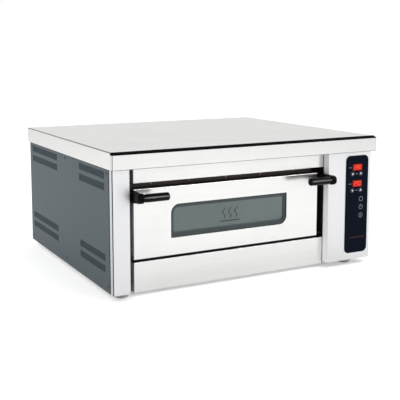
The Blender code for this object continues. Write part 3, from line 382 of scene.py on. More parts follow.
def piece(name, mesh, body, materials, replaces=()):
    """Link a mesh as a finished piece that rides on a body."""
    indices = [face.material_index for face in mesh.polygons]
    mesh.materials.clear()
    for material in materials:
        mesh.materials.append(material)
    mesh.polygons.foreach_set("material_index", [min(i, len(materials) - 1) for i in indices])
    ob = linked(name, mesh)
    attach(ob, body)
    if replaces:
        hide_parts(*replaces)
    return ob


def plain(ob):
    """Turn an object's modifiers into a plain mesh, and remove the object."""
    made = bpy.data.meshes.new_from_object(ob.evaluated_get(bpy.context.evaluated_depsgraph_get()))
    bpy.data.objects.remove(ob)
    return made


def worked(mesh, thickness=0.0, cut=(), edge=0.0):
    """A mesh given a wall, cut by tool meshes and eased, as a plain mesh."""
    ob = linked("work", mesh)
    if thickness:
        wall = ob.modifiers.new("wall", "SOLIDIFY")
        wall.thickness = thickness
        wall.offset = -1.0
        wall.use_even_offset = True
    tools = [linked("tool", tool) for tool in cut]
    for tool in tools:
        boolean = ob.modifiers.new("cut", "BOOLEAN")
        boolean.operation = "DIFFERENCE"
        boolean.solver = "EXACT"
        boolean.object = tool
    if edge:
        ease = ob.modifiers.new("ease", "BEVEL")
        ease.width = edge
        ease.segments = 2
        ease.limit_method = "ANGLE"
        ease.angle_limit = math.radians(HARD_EDGE)
        ease.harden_normals = True
    weighted = ob.modifiers.new("weighted", "WEIGHTED_NORMAL")
    weighted.keep_sharp = True
    made = plain(ob)
    for tool in tools:
        bpy.data.objects.remove(tool)
    return made


# ---- node helpers ---------------------------------------------------------------------------
def add(tree, kind, values=None, **attributes):
    """A node with its settings, and its inputs set or linked."""
    made = tree.nodes.new(kind)
    for key, value in attributes.items():
        setattr(made, key, value)
    for socket, value in (values or {}).items():
        if isinstance(value, bpy.types.NodeSocket):
            tree.links.new(value, made.inputs[socket])
        else:
            made.inputs[socket].default_value = value
    return made


def combined(tree, operation, *values):
    """Values or sockets combined one after another by a Math node's operation."""
    result = values[0]
    for value in values[1:]:
        result = add(tree, "ShaderNodeMath", {0: result, 1: value}, operation=operation).outputs[0]
    return result


def noise(tree, place, scale, detail, **more):
    """Noise between 0 and 1."""
    values = {"Vector": place, "Scale": scale, "Detail": detail, **more}
    return add(tree, "ShaderNodeTexNoise", values).outputs[0]


def remap(tree, value, low, high, to_low=0.0, to_high=1.0, **attributes):
    """A value moved from one range to another."""
    values = {"Value": value, "From Min": low, "From Max": high, "To Min": to_low, "To Max": to_high}
    return add(tree, "ShaderNodeMapRange", values, **attributes).outputs[0]


def blend(tree, factor, start, end):
    """One colour blended into another."""
    return add(tree, "ShaderNodeMix", {"Factor": factor, "A": start, "B": end},
               data_type="RGBA").outputs["Result"]


def bump(tree, height, strength, distance):
    """A normal that follows a height."""
    values = {"Strength": strength, "Distance": distance, "Height": height}
    return add(tree, "ShaderNodeBump", values).outputs[0]


def scaled(tree, tint, factor):
    """A colour made lighter or darker."""
    return add(tree, "ShaderNodeVectorMath", {0: tint, "Scale": factor}, operation="SCALE").outputs[0]


def object_place(tree):
    """A point's place on its piece."""
    return add(tree, "ShaderNodeTexCoord").outputs["Object"]


def once(library, name):
    """Build a node group or a material the first time, and give the same one back afterwards."""
    return lambda build: lambda: getattr(bpy.data, library).get(name) or build(name)


def new_group(name, kind, **inputs):
    """A node group and its inputs, _ for a space; a default or a socket type stands for each."""
    group = bpy.data.node_groups.new(name, kind)
    for label, value in inputs.items():
        socket = value if isinstance(value, str) else "Int" if isinstance(value, int) else "Float"
        if isinstance(value, tuple):
            socket = "Color" if len(value) == 4 else "Vector"
        made = group.interface.new_socket(label.replace("_", " "), in_out="INPUT",
                                          socket_type="NodeSocket" + socket)
        if not isinstance(value, str):
            made.default_value = value
    return group, group.nodes.new("NodeGroupInput").outputs


def put_out(group, **results):
    """Put results out of a group through sockets of their names."""
    types = {"Color": "Color", "Roughness": "Float", "Normal": "Vector", "Geometry": "Geometry"}
    for label in results:
        group.interface.new_socket(label, in_out="OUTPUT", socket_type="NodeSocket" + types[label])
    end = group.nodes.new("NodeGroupOutput")
    for label, socket in results.items():
        group.links.new(socket, end.inputs[label])
    return group


@once("node_groups", "Brushed Sheet")
def brushed_group(name):
    """Brushing drawn along one axis, with long streaks and faint wiping marks."""
    group, given = new_group(name, "ShaderNodeTree", Stretch=(4.0, 900.0, 900.0),
                             Tint=(0.8, 0.8, 0.8, 1), Roughness=0.3, Streaks=0.06, Relief=0.12)
    place = object_place(group)
    fine_place = add(group, "ShaderNodeMapping", {"Vector": place, "Scale": given["Stretch"]}).outputs[0]
    fine = noise(group, fine_place, 1.0, 3.0)
    broad_place = add(group, "ShaderNodeVectorMath", {0: fine_place, 1: (0.35, 0.035, 0.035)},
                      operation="MULTIPLY").outputs[0]
    broad = noise(group, broad_place, 1.0, 4.0)
    wiped = noise(group, place, 4.5, 5.0, Roughness=0.62, Distortion=0.8)
    centred = combined(group, "SUBTRACT", combined(group, "ADD", fine, broad), 1.0)
    streak = combined(group, "MULTIPLY", centred, given["Streaks"])
    wipe = remap(group, wiped, 0.35, 0.75, -0.012, 0.020)
    shade = combined(group, "SUBTRACT", 1.0, combined(group, "ADD", streak, wipe))
    return put_out(group, Color=scaled(group, given["Tint"], shade),
                   Roughness=combined(group, "ADD", given["Roughness"], streak, wipe),
                   Normal=bump(group, fine, given["Relief"], 0.0002))


@once("node_groups", "Coated Skin")
def coated_group(name):
    """A paint or moulded skin: fine relief, slow changes of tone, and dust on faces that look up."""
    group, given = new_group(name, "ShaderNodeTree", Tint=(0.1, 0.1, 0.1, 1), Roughness=0.4, Grain=900.0,
                             Relief=0.1, Dust=0.1)
    place = object_place(group)
    grain = noise(group, place, given["Grain"], 2.0)
    slow = noise(group, place, 3.0, 4.0, Distortion=0.4)
    tinted = scaled(group, given["Tint"], remap(group, slow, 0.3, 0.7, 0.93, 1.07))
    facing = add(group, "ShaderNodeSeparateXYZ", {0: add(group, "ShaderNodeNewGeometry").outputs["Normal"]})
    upward = remap(group, facing.outputs[2], 0.3, 1.0)
    dusty = combined(group, "MULTIPLY", upward, noise(group, place, 220.0, 6.0), given["Dust"])
    vary = remap(group, slow, 0.0, 1.0, -0.06, 0.06)
    return put_out(group, Color=blend(group, dusty, tinted, (0.5, 0.48, 0.45, 1)),
                   Roughness=combined(group, "ADD", given["Roughness"], vary, dusty),
                   Normal=bump(group, grain, given["Relief"], 0.0003))


@once("node_groups", "Handling Marks")
def painted_highlight_group(name):
    """A painted highlight: the surface made lighter where it faces one way, broken up along its length."""
    group, given = new_group(name, "ShaderNodeTree", Tint=(0, 0, 0, 1), Rubbed=(0.1, 0.1, 0.1, 1),
                             Facing=(0, -1, 0), Spread=0.02)
    coordinates = add(group, "ShaderNodeTexCoord").outputs
    aligned = add(group, "ShaderNodeVectorMath", {0: coordinates["Normal"], 1: given["Facing"]},
                  operation="DOT_PRODUCT").outputs["Value"]
    edge = combined(group, "SUBTRACT", 1.0, given["Spread"])
    band = remap(group, aligned, edge, 1.0, interpolation_type="SMOOTHSTEP")
    broken = remap(group, noise(group, coordinates["Object"], 28.0, 3.0), 0.3, 0.7, 0.55, 1.0)
    highlight_mask = combined(group, "MULTIPLY", band, broken)
    return put_out(group, Color=blend(group, highlight_mask, given["Tint"], given["Rubbed"]))


@once("node_groups", "Heat Tint")
def heat_group(name):
    """Straw and blue tints and scale that heat leaves on bare metal."""
    group, given = new_group(name, "ShaderNodeTree", Tint=(0.4, 0.38, 0.35, 1),
                             Scorch=(0.12, 0.08, 0.05, 1), Amount=0.5)
    cloud = noise(group, object_place(group), 7.0, 8.0, Roughness=0.6, Distortion=0.6)
    share = combined(group, "MULTIPLY", remap(group, cloud, 0.38, 0.72), given["Amount"])
    return put_out(group, Color=blend(group, share, given["Tint"], given["Scorch"]))


# ---- finishes -------------------------------------------------------------------------------
SURFACE = (("Color", "Base Color"), ("Roughness", "Roughness"), ("Normal", "Normal"))
GLAZED = SURFACE[:2]
LIT = (*GLAZED, ("Color", "Emission Color"))

# brushed metals: axis of the brushing, tint, roughness, streaks
METALS = {
    # the first two are darker copies of the sheet: painted shade along the rounded folds
    "Folded Edge": ("Z", (0.24, 0.24, 0.25), 0.34, 0.03),
    "Corner Fold": ("Z", (0.07, 0.07, 0.075), 0.4, 0.02),
    "Cover Sheet": ("X", (0.89, 0.885, 0.87), 0.22, 0.04),
    "Fastener Steel": ("Z", (0.62, 0.62, 0.61), 0.3, 0.04),
    # painted shade: the hinge pins and springs near black, in place of the shade at the foot of the slots
    "Pin Steel": ("X", (0.045, 0.043, 0.042), 0.42, 0.04),
}
# paints, enamels and mouldings: tint (or None where a setting gives it), roughness, grain, relief,
# dust, specular level, metallic
SKINS = {
    # a near-black strip along the cover's front edge
    "Edge Enamel": ((0.003, 0.0015, 0.0015), 0.5, 600.0, 0.05, 0.0, 0.02),
    # painted light: a near-white matt copy of the stainless sheet for the posts' returns, brighter than the
    # steel would show there
    "Return Steel": ((0.96, 0.95, 0.96), 0.5, 900.0, 0.08, 0.0, 0.5),
    "Sealant": ((0.10, 0.10, 0.10), 0.6, 500.0, 0.2, 0.0, 0.2),
    # painted shade: near black for the slot plates, the posts' deep returns, the door skin's top and foot
    # returns and the side panels' front strips
    "Slot Black": ((0.012, 0.010, 0.010), 0.55, 400.0, 0.2, 0.03, 0.08),
    # painted shade: mid grey for the door skin's side returns and the front panels' left returns
    "Slot Grey": ((0.34, 0.34, 0.35), 0.5, 900.0, 0.1, 0.0, 0.2),
    "Side Paint": (None, 0.42, 700.0, 0.12, 0.08, 0.25),
    # painted shade: the slats' paint is darker than the panels'
    "Slat Paint": (None, 0.5, 700.0, 0.12, 0.03, 0.15),
    "Gland Nylon": ((0.03, 0.03, 0.032), 0.5, 1100.0, 0.08, 0.08, 0.3),
    "Foot Moulding": (None, 0.6, 800.0, 0.15, 0.15, 0.3),
    "Bezel Enamel": (None, 0.34, 800.0, 0.08, 0.05, 0.35),
    "Handle Bakelite": (None, 0.17, 1500.0, 0.02, 0.008, 0.10),
    "Arm Bakelite": (None, 0.24, 1500.0, 0.02, 0.004, 0.045),
    "Rod Oxide": ((0.055, 0.048, 0.045), 0.6, 500.0, 0.3, 0.0, 0.3, 0.5),
    "Bush Porcelain": ((0.72, 0.70, 0.66), 0.3, 600.0, 0.05, 0.1, 0.5),
    "Overlay Film": (None, 0.34, 1400.0, 0.05, 0.0, 0.045),
    "Key Film": ((0.002, 0.004, 0.010), 0.4, 1400.0, 0.05, 0.0, 0.07),
    "Board Lacquer": ((0.015, 0.14, 0.06), 0.35, 350.0, 0.2, 0.1, 0.5),
    "Relay Moulding": ((0.28, 0.29, 0.30), 0.5, 900.0, 0.12, 0.2, 0.5),
}
PRINTING = (0.5, 1200.0, 0.05, 0.0, 0.3)
INKS = {
    "Glass Border": (0.052, 0.070, 0.072),
    "Fired Mark": (0.012, 0.018, 0.019),
    "Warm Ink": (0.24, 0.15, 0.17),
    "Dim Ink": (0.105, 0.115, 0.155),
    "Grey Ink": (0.17, 0.175, 0.20),
}


def shader_of(name):
    """A new material, its node tree and its Principled shader."""
    material = bpy.data.materials.new(name)
    material.use_nodes = True
    return material, material.node_tree, material.node_tree.nodes["Principled BSDF"]


def finish(name, group, values, shader_values, links=SURFACE, under=None):
    """A material whose shader a node group feeds; under is a second group that feeds the first's tint."""
    if name in bpy.data.materials:
        return bpy.data.materials[name]
    material, tree, shader = shader_of(name)
    skin = add(tree, "ShaderNodeGroup", values, node_tree=group)
    if under:
        tint = add(tree, "ShaderNodeGroup", under[1], node_tree=under[0])
        tree.links.new(tint.outputs["Color"], skin.inputs["Tint"])
    for label, socket in links:
        tree.links.new(skin.outputs[label], shader.inputs[socket])
    for label, value in shader_values.items():
        shader.inputs[label].default_value = value
    return material


def steel(name, along, tint, roughness=0.24, streaks=0.07):
    """Brushed stainless sheet, its brushing along the named axis."""
    stretch = [3.0 if axis == along else 1400.0 for axis in "XYZ"]
    values = {"Stretch": stretch, "Tint": (*tint, 1), "Roughness": roughness, "Streaks": streaks}
    return finish(name, brushed_group(), values, {"Metallic": 1.0})


def metal(name):
    """A brushed metal of the table."""
    return steel(name, *METALS[name])


def coated(name, tint, roughness, grain, relief, dust, specular, metallic=0.0, under=None):
    """Paint, enamel or moulded plastic."""
    values = {"Tint": (*tint, 1), "Roughness": roughness, "Grain": grain, "Relief": relief, "Dust": dust}
    return finish(name, coated_group(), values, {"Specular IOR Level": specular, "Metallic": metallic},
                  under=under)


def skin(name, tint=None, under=None):
    """A paint, enamel or moulding of the table, in its own tint or a given one."""
    own, *values = SKINS[name]
    return coated(name, tint or own, *values, under=under)


def printed(name, tint=None):
    """Matt printing, in an ink of the table or a given tint."""
    return coated(name, tint or INKS[name], *PRINTING)


def heated(name, tint, scorch, amount_of_scorch, roughness, metallic):
    """Bare metal that has been hot: heat tint over brushing."""
    tints = {"Tint": (*tint, 1), "Scorch": (*scorch, 1), "Amount": amount_of_scorch}
    return finish(name, brushed_group(), {"Roughness": roughness}, {"Metallic": metallic},
                  under=(heat_group(), tints))


def coated_glass(name, tint, see_through, roughness):
    """Tinted oven glass with a faint cloudiness of grease."""
    values = {"Tint": (*tint, 1), "Roughness": roughness, "Grain": 30.0, "Relief": 0.0, "Dust": 0.0}
    shader_values = {"Transmission Weight": see_through, "IOR": 1.5, "Specular IOR Level": 0.5}
    return finish(name, coated_group(), values, shader_values, GLAZED)


def glowing(name, tint, strength):
    """A lit surface, with a faint unevenness of the lamps behind it."""
    values = {"Tint": (*tint, 1), "Roughness": 0.35, "Grain": 500.0, "Relief": 0.05, "Dust": 0.0}
    return finish(name, coated_group(), values, {"Emission Strength": strength, "Specular IOR Level": 0.08},
                  LIT)


def rough_surface(tree, shader, tint, height, strength, distance, roughness):
    """Feed a shader a colour and a bumped normal."""
    tree.links.new(tint, shader.inputs["Base Color"])
    tree.links.new(bump(tree, height, strength, distance), shader.inputs["Normal"])
    shader.inputs["Roughness"].default_value = roughness


@once("materials", "Hearth Stone")
def stone(name):
    """Refractory stone: speckled, matt, with browned patches of baking."""
    material, tree, shader = shader_of(name)
    place = object_place(tree)
    tints = {"Tint": (0.60, 0.52, 0.41, 1), "Scorch": (0.30, 0.20, 0.12, 1), "Amount": 0.55}
    baked = add(tree, "ShaderNodeGroup", tints, node_tree=heat_group()).outputs["Color"]
    specks = add(tree, "ShaderNodeTexVoronoi", {"Vector": place, "Scale": 420.0}).outputs["Distance"]
    tone = blend(tree, remap(tree, specks, 0.0, 0.35, 0.35, 0.0), baked, (0.16, 0.12, 0.09, 1))
    rough_surface(tree, shader, tone, noise(tree, place, 350.0, 6.0), 0.6, 0.0008, 0.92)
    return material


@once("materials", "Mineral Wool")
def wool(name):
    """Mineral wool: matted fibres."""
    material, tree, shader = shader_of(name)
    values = {"Vector": object_place(tree), "Scale": (260.0, 260.0, 900.0)}
    stretched = add(tree, "ShaderNodeMapping", values).outputs[0]
    fibres = noise(tree, stretched, 1.0, 8.0, Distortion=2.5)
    tone = blend(tree, fibres, (0.42, 0.34, 0.20, 1), (0.82, 0.74, 0.56, 1))
    rough_surface(tree, shader, tone, fibres, 0.9, 0.002, 1.0)
    return material


@once("materials", "Braided Seal")
def braid(name):
    """A braided glass-fibre rope, its braid running along the piece's own UV map."""
    material, tree, shader = shader_of(name)
    strands = add(tree, "ShaderNodeUVMap", uv_map="braid").outputs[0]
    waves = []
    for slope in (1.0, -1.0):
        turned = add(tree, "ShaderNodeMapping", {"Vector": strands, "Scale": (1.0, slope, 1.0)}).outputs[0]
        waves.append(add(tree, "ShaderNodeTexWave", {"Vector": turned, "Scale": 1.0, "Distortion": 0.6},
                         bands_direction="DIAGONAL").outputs["Fac"])
    weave = combined(tree, "MAXIMUM", *waves)
    tint = bpy.context.scene.oven_door.seal
    tone = blend(tree, weave, (*[c * 0.45 for c in tint], 1), (*tint, 1))
    rough_surface(tree, shader, tone, weave, 0.8, 0.0008, 0.9)
    return material


def casing_steel(along):
    """The casing's sheet, brushed along an axis."""
    tint = bpy.context.scene.oven_casing.steel
    if along == "Z":
        return steel("Upright Sheet", along, [c * k for c, k in zip(tint, (0.925, 0.930, 0.955))], 0.40)
    return steel("Brushed Sheet " + along, along, tint)


def side_paint():
    """The paint of the side and back panels."""
    return skin("Side Paint", bpy.context.scene.oven_casing.side_paint)


def shaded_slat_paint():
    """The same paint on the vents' slats, darker: painted shade of the vent bands."""
    return skin("Slat Paint", [c * 0.80 for c in bpy.context.scene.oven_casing.side_paint])


def chamber_steel():
    """The chamber's plates, browned by heat."""
    return heated("Chamber Steel", (0.42, 0.40, 0.37), (0.16, 0.10, 0.06), 0.55, 0.36, 0.9)


def handle_black():
    """Moulded bakelite, with a painted highlight band along the upper front of the grips."""
    tint = bpy.context.scene.oven_door.handle
    # painted highlight: a lighter band where the grips face forward and a little up, in place of a light's
    # reflection
    marks = {"Tint": (*tint, 1), "Rubbed": (0.16, 0.16, 0.165, 1), "Facing": (0, -0.975, 0.222),
             "Spread": 0.030}
    return skin("Handle Bakelite", tint, (painted_highlight_group(), marks))


# ---- repeats --------------------------------------------------------------------------------
def made_real(tree, given, instances):
    """Put instances out of a geometry tree as real, dressed geometry."""
    real = add(tree, "GeometryNodeRealizeInstances", {0: instances}).outputs[0]
    dressed = add(tree, "GeometryNodeSetMaterial", {0: real, "Material": given["Material"]})
    return put_out(tree, Geometry=dressed.outputs[0])


@once("node_groups", "Rows of Pieces")
def rows_tree(name):
    """Copies of a piece in rows and columns from a starting point."""
    tree, given = new_group(name, "GeometryNodeTree", Geometry="Geometry", Piece="Object",
                            Start=(0, 0, 0), Columns=2, Column_Step=(0.01, 0, 0), Rows=1,
                            Row_Step=(0, 0, 0.01), Material="Material")
    source = add(tree, "GeometryNodeObjectInfo", {"Object": given["Piece"]}).outputs["Geometry"]
    along = add(tree, "GeometryNodeMeshLine", {"Count": given["Columns"], "Offset": given["Column Step"]},
                mode="OFFSET").outputs[0]
    up = add(tree, "GeometryNodeMeshLine", {"Count": given["Rows"], "Start Location": given["Start"],
                                            "Offset": given["Row Step"]}, mode="OFFSET").outputs[0]
    column = add(tree, "GeometryNodeInstanceOnPoints", {"Points": along, "Instance": source}).outputs[0]
    block = add(tree, "GeometryNodeInstanceOnPoints", {"Points": up, "Instance": column}).outputs[0]
    return made_real(tree, given, block)


@once("node_groups", "Pieces on Points")
def scatter_tree(name):
    """A piece on every point, facing one way and turned by a seeded amount."""
    tree, given = new_group(name, "GeometryNodeTree", Geometry="Geometry", Piece="Object",
                            Facing=(0, 0, 1), Turn=math.tau, Seed=3, Material="Material")
    source = add(tree, "GeometryNodeObjectInfo", {"Object": given["Piece"]}).outputs["Geometry"]
    aligned = add(tree, "FunctionNodeAlignRotationToVector", {"Vector": given["Facing"]},
                  axis="Z").outputs[0]
    chance = add(tree, "FunctionNodeRandomValue", {3: given["Turn"], "Seed": given["Seed"]},
                 data_type="FLOAT").outputs[1]
    spin = add(tree, "ShaderNodeCombineXYZ", {2: chance}).outputs[0]
    spun = add(tree, "FunctionNodeEulerToRotation", {0: spin}).outputs[0]
    turned = add(tree, "FunctionNodeRotateRotation", {"Rotation": aligned, "Rotate By": spun},
                 rotation_space="LOCAL").outputs[0]
    placed = add(tree, "GeometryNodeInstanceOnPoints", {"Points": given["Geometry"], "Instance": source,
                                                        "Rotation": turned}).outputs[0]
    return made_real(tree, given, placed)


def grown(name, tree, start, source_mesh, inputs, body):
    """A piece that a geometry tree makes of copies of a source mesh, as plain mesh."""
    source = bpy.data.objects.new("source", source_mesh)
    ob = linked(name, start)
    modifier = ob.modifiers.new(tree.name, "NODES")
    modifier.node_group = tree
    sockets = {item.name: item.identifier for item in tree.interface.items_tree if item.in_out == "INPUT"}
    for label, value in {"Piece": source, **inputs}.items():
        modifier[sockets[label]] = value
    made = piece(name, plain(ob), body, [inputs["Material"]])
    bpy.data.objects.remove(source)
    return made


def screw_mesh(radius):
    """A pan head with a cross recess, standing on the origin and facing +Z."""
    rise = radius * 0.52
    profile = [(0, 0), (radius, 0), (radius, rise * 0.35), (radius * 0.92, rise * 0.62),
               (radius * 0.7, rise * 0.88), (radius * 0.35, rise), (0, rise)]
    arm, half = radius * 0.62, radius * 0.13
    cross = [box_mesh((-a, -b, rise * 0.45), (a, b, rise * 2)) for a, b in ((arm, half), (half, arm))]
    return worked(turned_mesh(profile, (0, 0, 1), (0, 0, 0), 20), cut=cross)


def screws(name, points, facing, body, radius, material=None):
    """Screw heads at given points, all facing one way."""
    inputs = {"Facing": facing, "Turn": math.tau, "Seed": len(name),
              "Material": material or metal("Fastener Steel")}
    grown(name, scatter_tree(), points_mesh(points), screw_mesh(radius), inputs, body)


def slats(name, start, count, step, size):
    """A row of flat slats with eased edges, the slits of a vent left between them."""
    half = Vector(size) / 2
    inputs = {"Start": start, "Columns": count, "Column Step": step, "Rows": 1, "Row Step": (0, 0, 0),
              "Material": shaded_slat_paint()}
    slat = worked(box_mesh(-half, half), edge=0.0003)
    grown(name, rows_tree(), points_mesh([]), slat, inputs, CASING)


# ---- casing ---------------------------------------------------------------------------------
class OVEN_OT_cover(bpy.types.Operator):
    """Make the top cover, the fascia below it and the dark strip between them"""
    bl_idname = "oven.cover"
    bl_label = "Cover and Fascia"

    def execute(self, context):
        casing = context.scene.oven_casing
        for node, open_sides, bend, name, sheet in (
                ("top_cover", ("-Z", "-Y"), casing.cover_bend, "cover_sheet", metal("Cover Sheet")),
                ("front_fascia", ("+Y", "+Z"), casing.panel_bend, "fascia_sheet", casing_steel("X"))):
            shell = box_mesh(*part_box(node), open_sides, bend)
            # painted shade: the folds take the darker fold steel
            made = paint_fold_shade(worked(shell, casing.sheet, edge=GAP), 1)
            piece(name, made, CASING, [sheet, metal("Folded Edge")], [node])
        low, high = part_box("front_edge_strip")
        nose = 0.0014
        outline = arc((low.y + nose, low.z + nose), nose, 180, 250, 4)
        outline += [(high.y, low.z), (high.y, high.z), (low.y + nose * 2.2, low.z + nose * 2.0)]
        strip = worked(prism_mesh(outline, "X", low.x, high.x, 0.0003))
        piece("edge_strip", strip, CASING, [skin("Edge Enamel")], ["front_edge_strip"])
        return {"FINISHED"}


class OVEN_OT_posts(bpy.types.Operator):
    """Fold the left post and the control column from sheet"""
    bl_idname = "oven.posts"
    bl_label = "Posts"

    def execute(self, context):
        casing = context.scene.oven_casing
        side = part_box("side_panel_left")[0].y - GAP
        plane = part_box("door_skin")[0].y
        for node, mirrored in (("left_post", False), ("control_column", True)):
            low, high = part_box(node)
            corners = [(low.x, side), (low.x, low.y), (high.x, low.y), (high.x, plane), (high.x, high.y)]
            if mirrored:
                corners = [(low.x, high.y), (low.x, plane), (low.x, low.y), (high.x, low.y), (high.x, side)]
            face = section_mesh(corners, casing.post_bend, low.z, high.z)
            opening = opening_mesh(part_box("control_overlay"), 0.008, low.y, low.y)
            tools = [opening] if mirrored else []
            # painted shade: the folds take the darker corner steel, except on the control column, whose
            # folds go back to the sheet below
            made = paint_fold_shade(worked(face, casing.sheet, cut=tools, edge=0.0002), 1)
            inner = low.x if mirrored else high.x
            # painted light: the return's front part, ahead of the door, takes the near-white matt copy of
            # the sheet
            side_faces(made, 2, lambda c, n: abs(c.x - inner) < NEAR and c.y > low.y + NEAR)
            # painted shade: the return's part behind the door's front is near black
            side_faces(made, 3, lambda c, n: abs(c.x - inner) < NEAR and c.y > plane - NEAR / 2)
            if mirrored:
                side_faces(made, 0, lambda c, n: max(abs(n.x), abs(n.y)) < FLAT)
            finishes = [casing_steel("Z"), metal("Corner Fold"), skin("Return Steel"), skin("Slot Black")]
            piece(node + "_sheet", made, CASING, finishes, [node])
        return {"FINISHED"}


class OVEN_OT_front_panels(bpy.types.Operator):
    """Fold the panels above and below the door"""
    bl_idname = "oven.front_panels"
    bl_label = "Front Panels"

    def execute(self, context):
        casing = context.scene.oven_casing
        left, up, forward = 0.01, 0.2, -0.2
        for node in ("upper_front_panel", "lower_front_panel"):
            low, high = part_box(node)
            made = worked(box_mesh(low, high, ("+Y",), casing.panel_bend), casing.sheet)
            # painted shade: the panel's left return, in the slot beside the post, is darker grey
            side_faces(made, 1, lambda c, n: (abs(n.x) > TOWARDS and c.x < low.x + left
                                              and c.y > low.y + NEAR))
            # painted shade: the fold along the top front edge takes the darker fold steel
            side_faces(made, 2, lambda c, n: n.z > up and n.y < forward and c.z > high.z - NEAR)
            finishes = [casing_steel("X"), skin("Slot Grey"), metal("Folded Edge")]
            piece(node + "_sheet", made, CASING, finishes, [node])
            self.bead(node, low, high)
        return {"FINISHED"}

    def bead(self, node, low, high):
        """A thin bead of sealant in the corner between a panel and the control column."""
        radius = 0.0009
        corner = Vector((high.x - radius * 0.4, low.y - radius * 0.3, 0))
        line = [corner + Vector((0, 0, z)) for z in spread(low.z + 0.001, high.z - 0.001, 3)]
        piece(node + "_bead", tube_mesh(line, radius, 2), CASING, [skin("Sealant")])


class OVEN_OT_side_panels(bpy.types.Operator):
    """Make the painted side panels with their bands of vent slits"""
    bl_idname = "oven.side_panels"
    bl_label = "Side Panels"

    def execute(self, context):
        casing = context.scene.oven_casing
        front_return = 0.0060
        for node, way in (("side_panel_left", -1), ("side_panel_right", 1)):
            low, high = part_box(node)
            x = low.x if way < 0 else high.x
            windows = self.windows(low, high, casing.sheet)
            columns = (low.y, low.y + front_return, high.y)
            face = pierced_mesh((low.z, high.z), columns, windows, lambda a, b: (x, a, b))
            if way > 0:
                face.flip_normals()
            face = self.flanged(face, high.y, way, high.x - low.x)
            made = worked(face, casing.sheet, edge=0.0004)
            # painted shade: a near-black strip along the side panel's front edge
            side_faces(made, 1, lambda c, n: c.y < low.y + front_return)
            piece(node + "_sheet", made, CASING, [side_paint(), skin("Slot Black")], [node])
            self.fill(node, x - way * (casing.sheet / 2 + casing.slit_inset), windows, casing)
            inset = 0.022
            points = [(x, y, z) for y in spread(low.y + inset, high.y - inset, 3)
                      for z in (low.z + 0.020, high.z - 0.014)]
            screws(node + "_screws", points, (way, 0, 0), CASING, 0.0036, side_paint())
        return {"FINISHED"}

    def windows(self, low, high, sheet):
        """The openings of the vent bands, as (low, high) in Y and Z."""
        height, below_top = 0.022, high.z + GAP
        levels = (low.z + 0.0595, low.z + 0.0955, below_top - 0.0705, below_top - 0.0345)
        rear = high.y + sheet + GAP
        groups = ((low.y + 0.0417, low.y + 0.2647), (rear - 0.326, rear - 0.033))
        return [((start, level), (end, level + height)) for level in levels for start, end in groups]

    def flanged(self, mesh, back, way, depth):
        """The panel's face with a flange turned in along its rear edge, all facing outwards."""
        bm = bmesh.new()
        bm.from_mesh(mesh)
        edges = [e for e in bm.edges if all(v.co.y > back - 0.0001 for v in e.verts)]
        moved_verts(bm, bmesh.ops.extrude_edge_only(bm, edges=edges)["geom"], (-way * depth, 0, 0))
        bmesh.ops.recalc_face_normals(bm, faces=bm.faces)
        if sum(f.normal.x * f.calc_area() for f in bm.faces) * way < 0:
            bmesh.ops.reverse_faces(bm, faces=bm.faces)
        return to_mesh(bm)

    def fill(self, node, x, windows, casing):
        """Rows of upright slats across the openings."""
        pitch, gap = casing.slit_pitch, casing.slit_width
        for i, (low, high) in enumerate(windows):
            span = high[0] - low[0]
            count = int((span - gap) / pitch)
            lead = (span - count * pitch + gap) / 2
            start = (x, low[0] + lead + (pitch - gap) / 2, (low[1] + high[1]) / 2)
            size = (casing.sheet, pitch - gap, high[1] - low[1] + OVERLAP)
            slats("%s_slats_%d" % (node, i + 1), start, count, (0, pitch, 0), size)


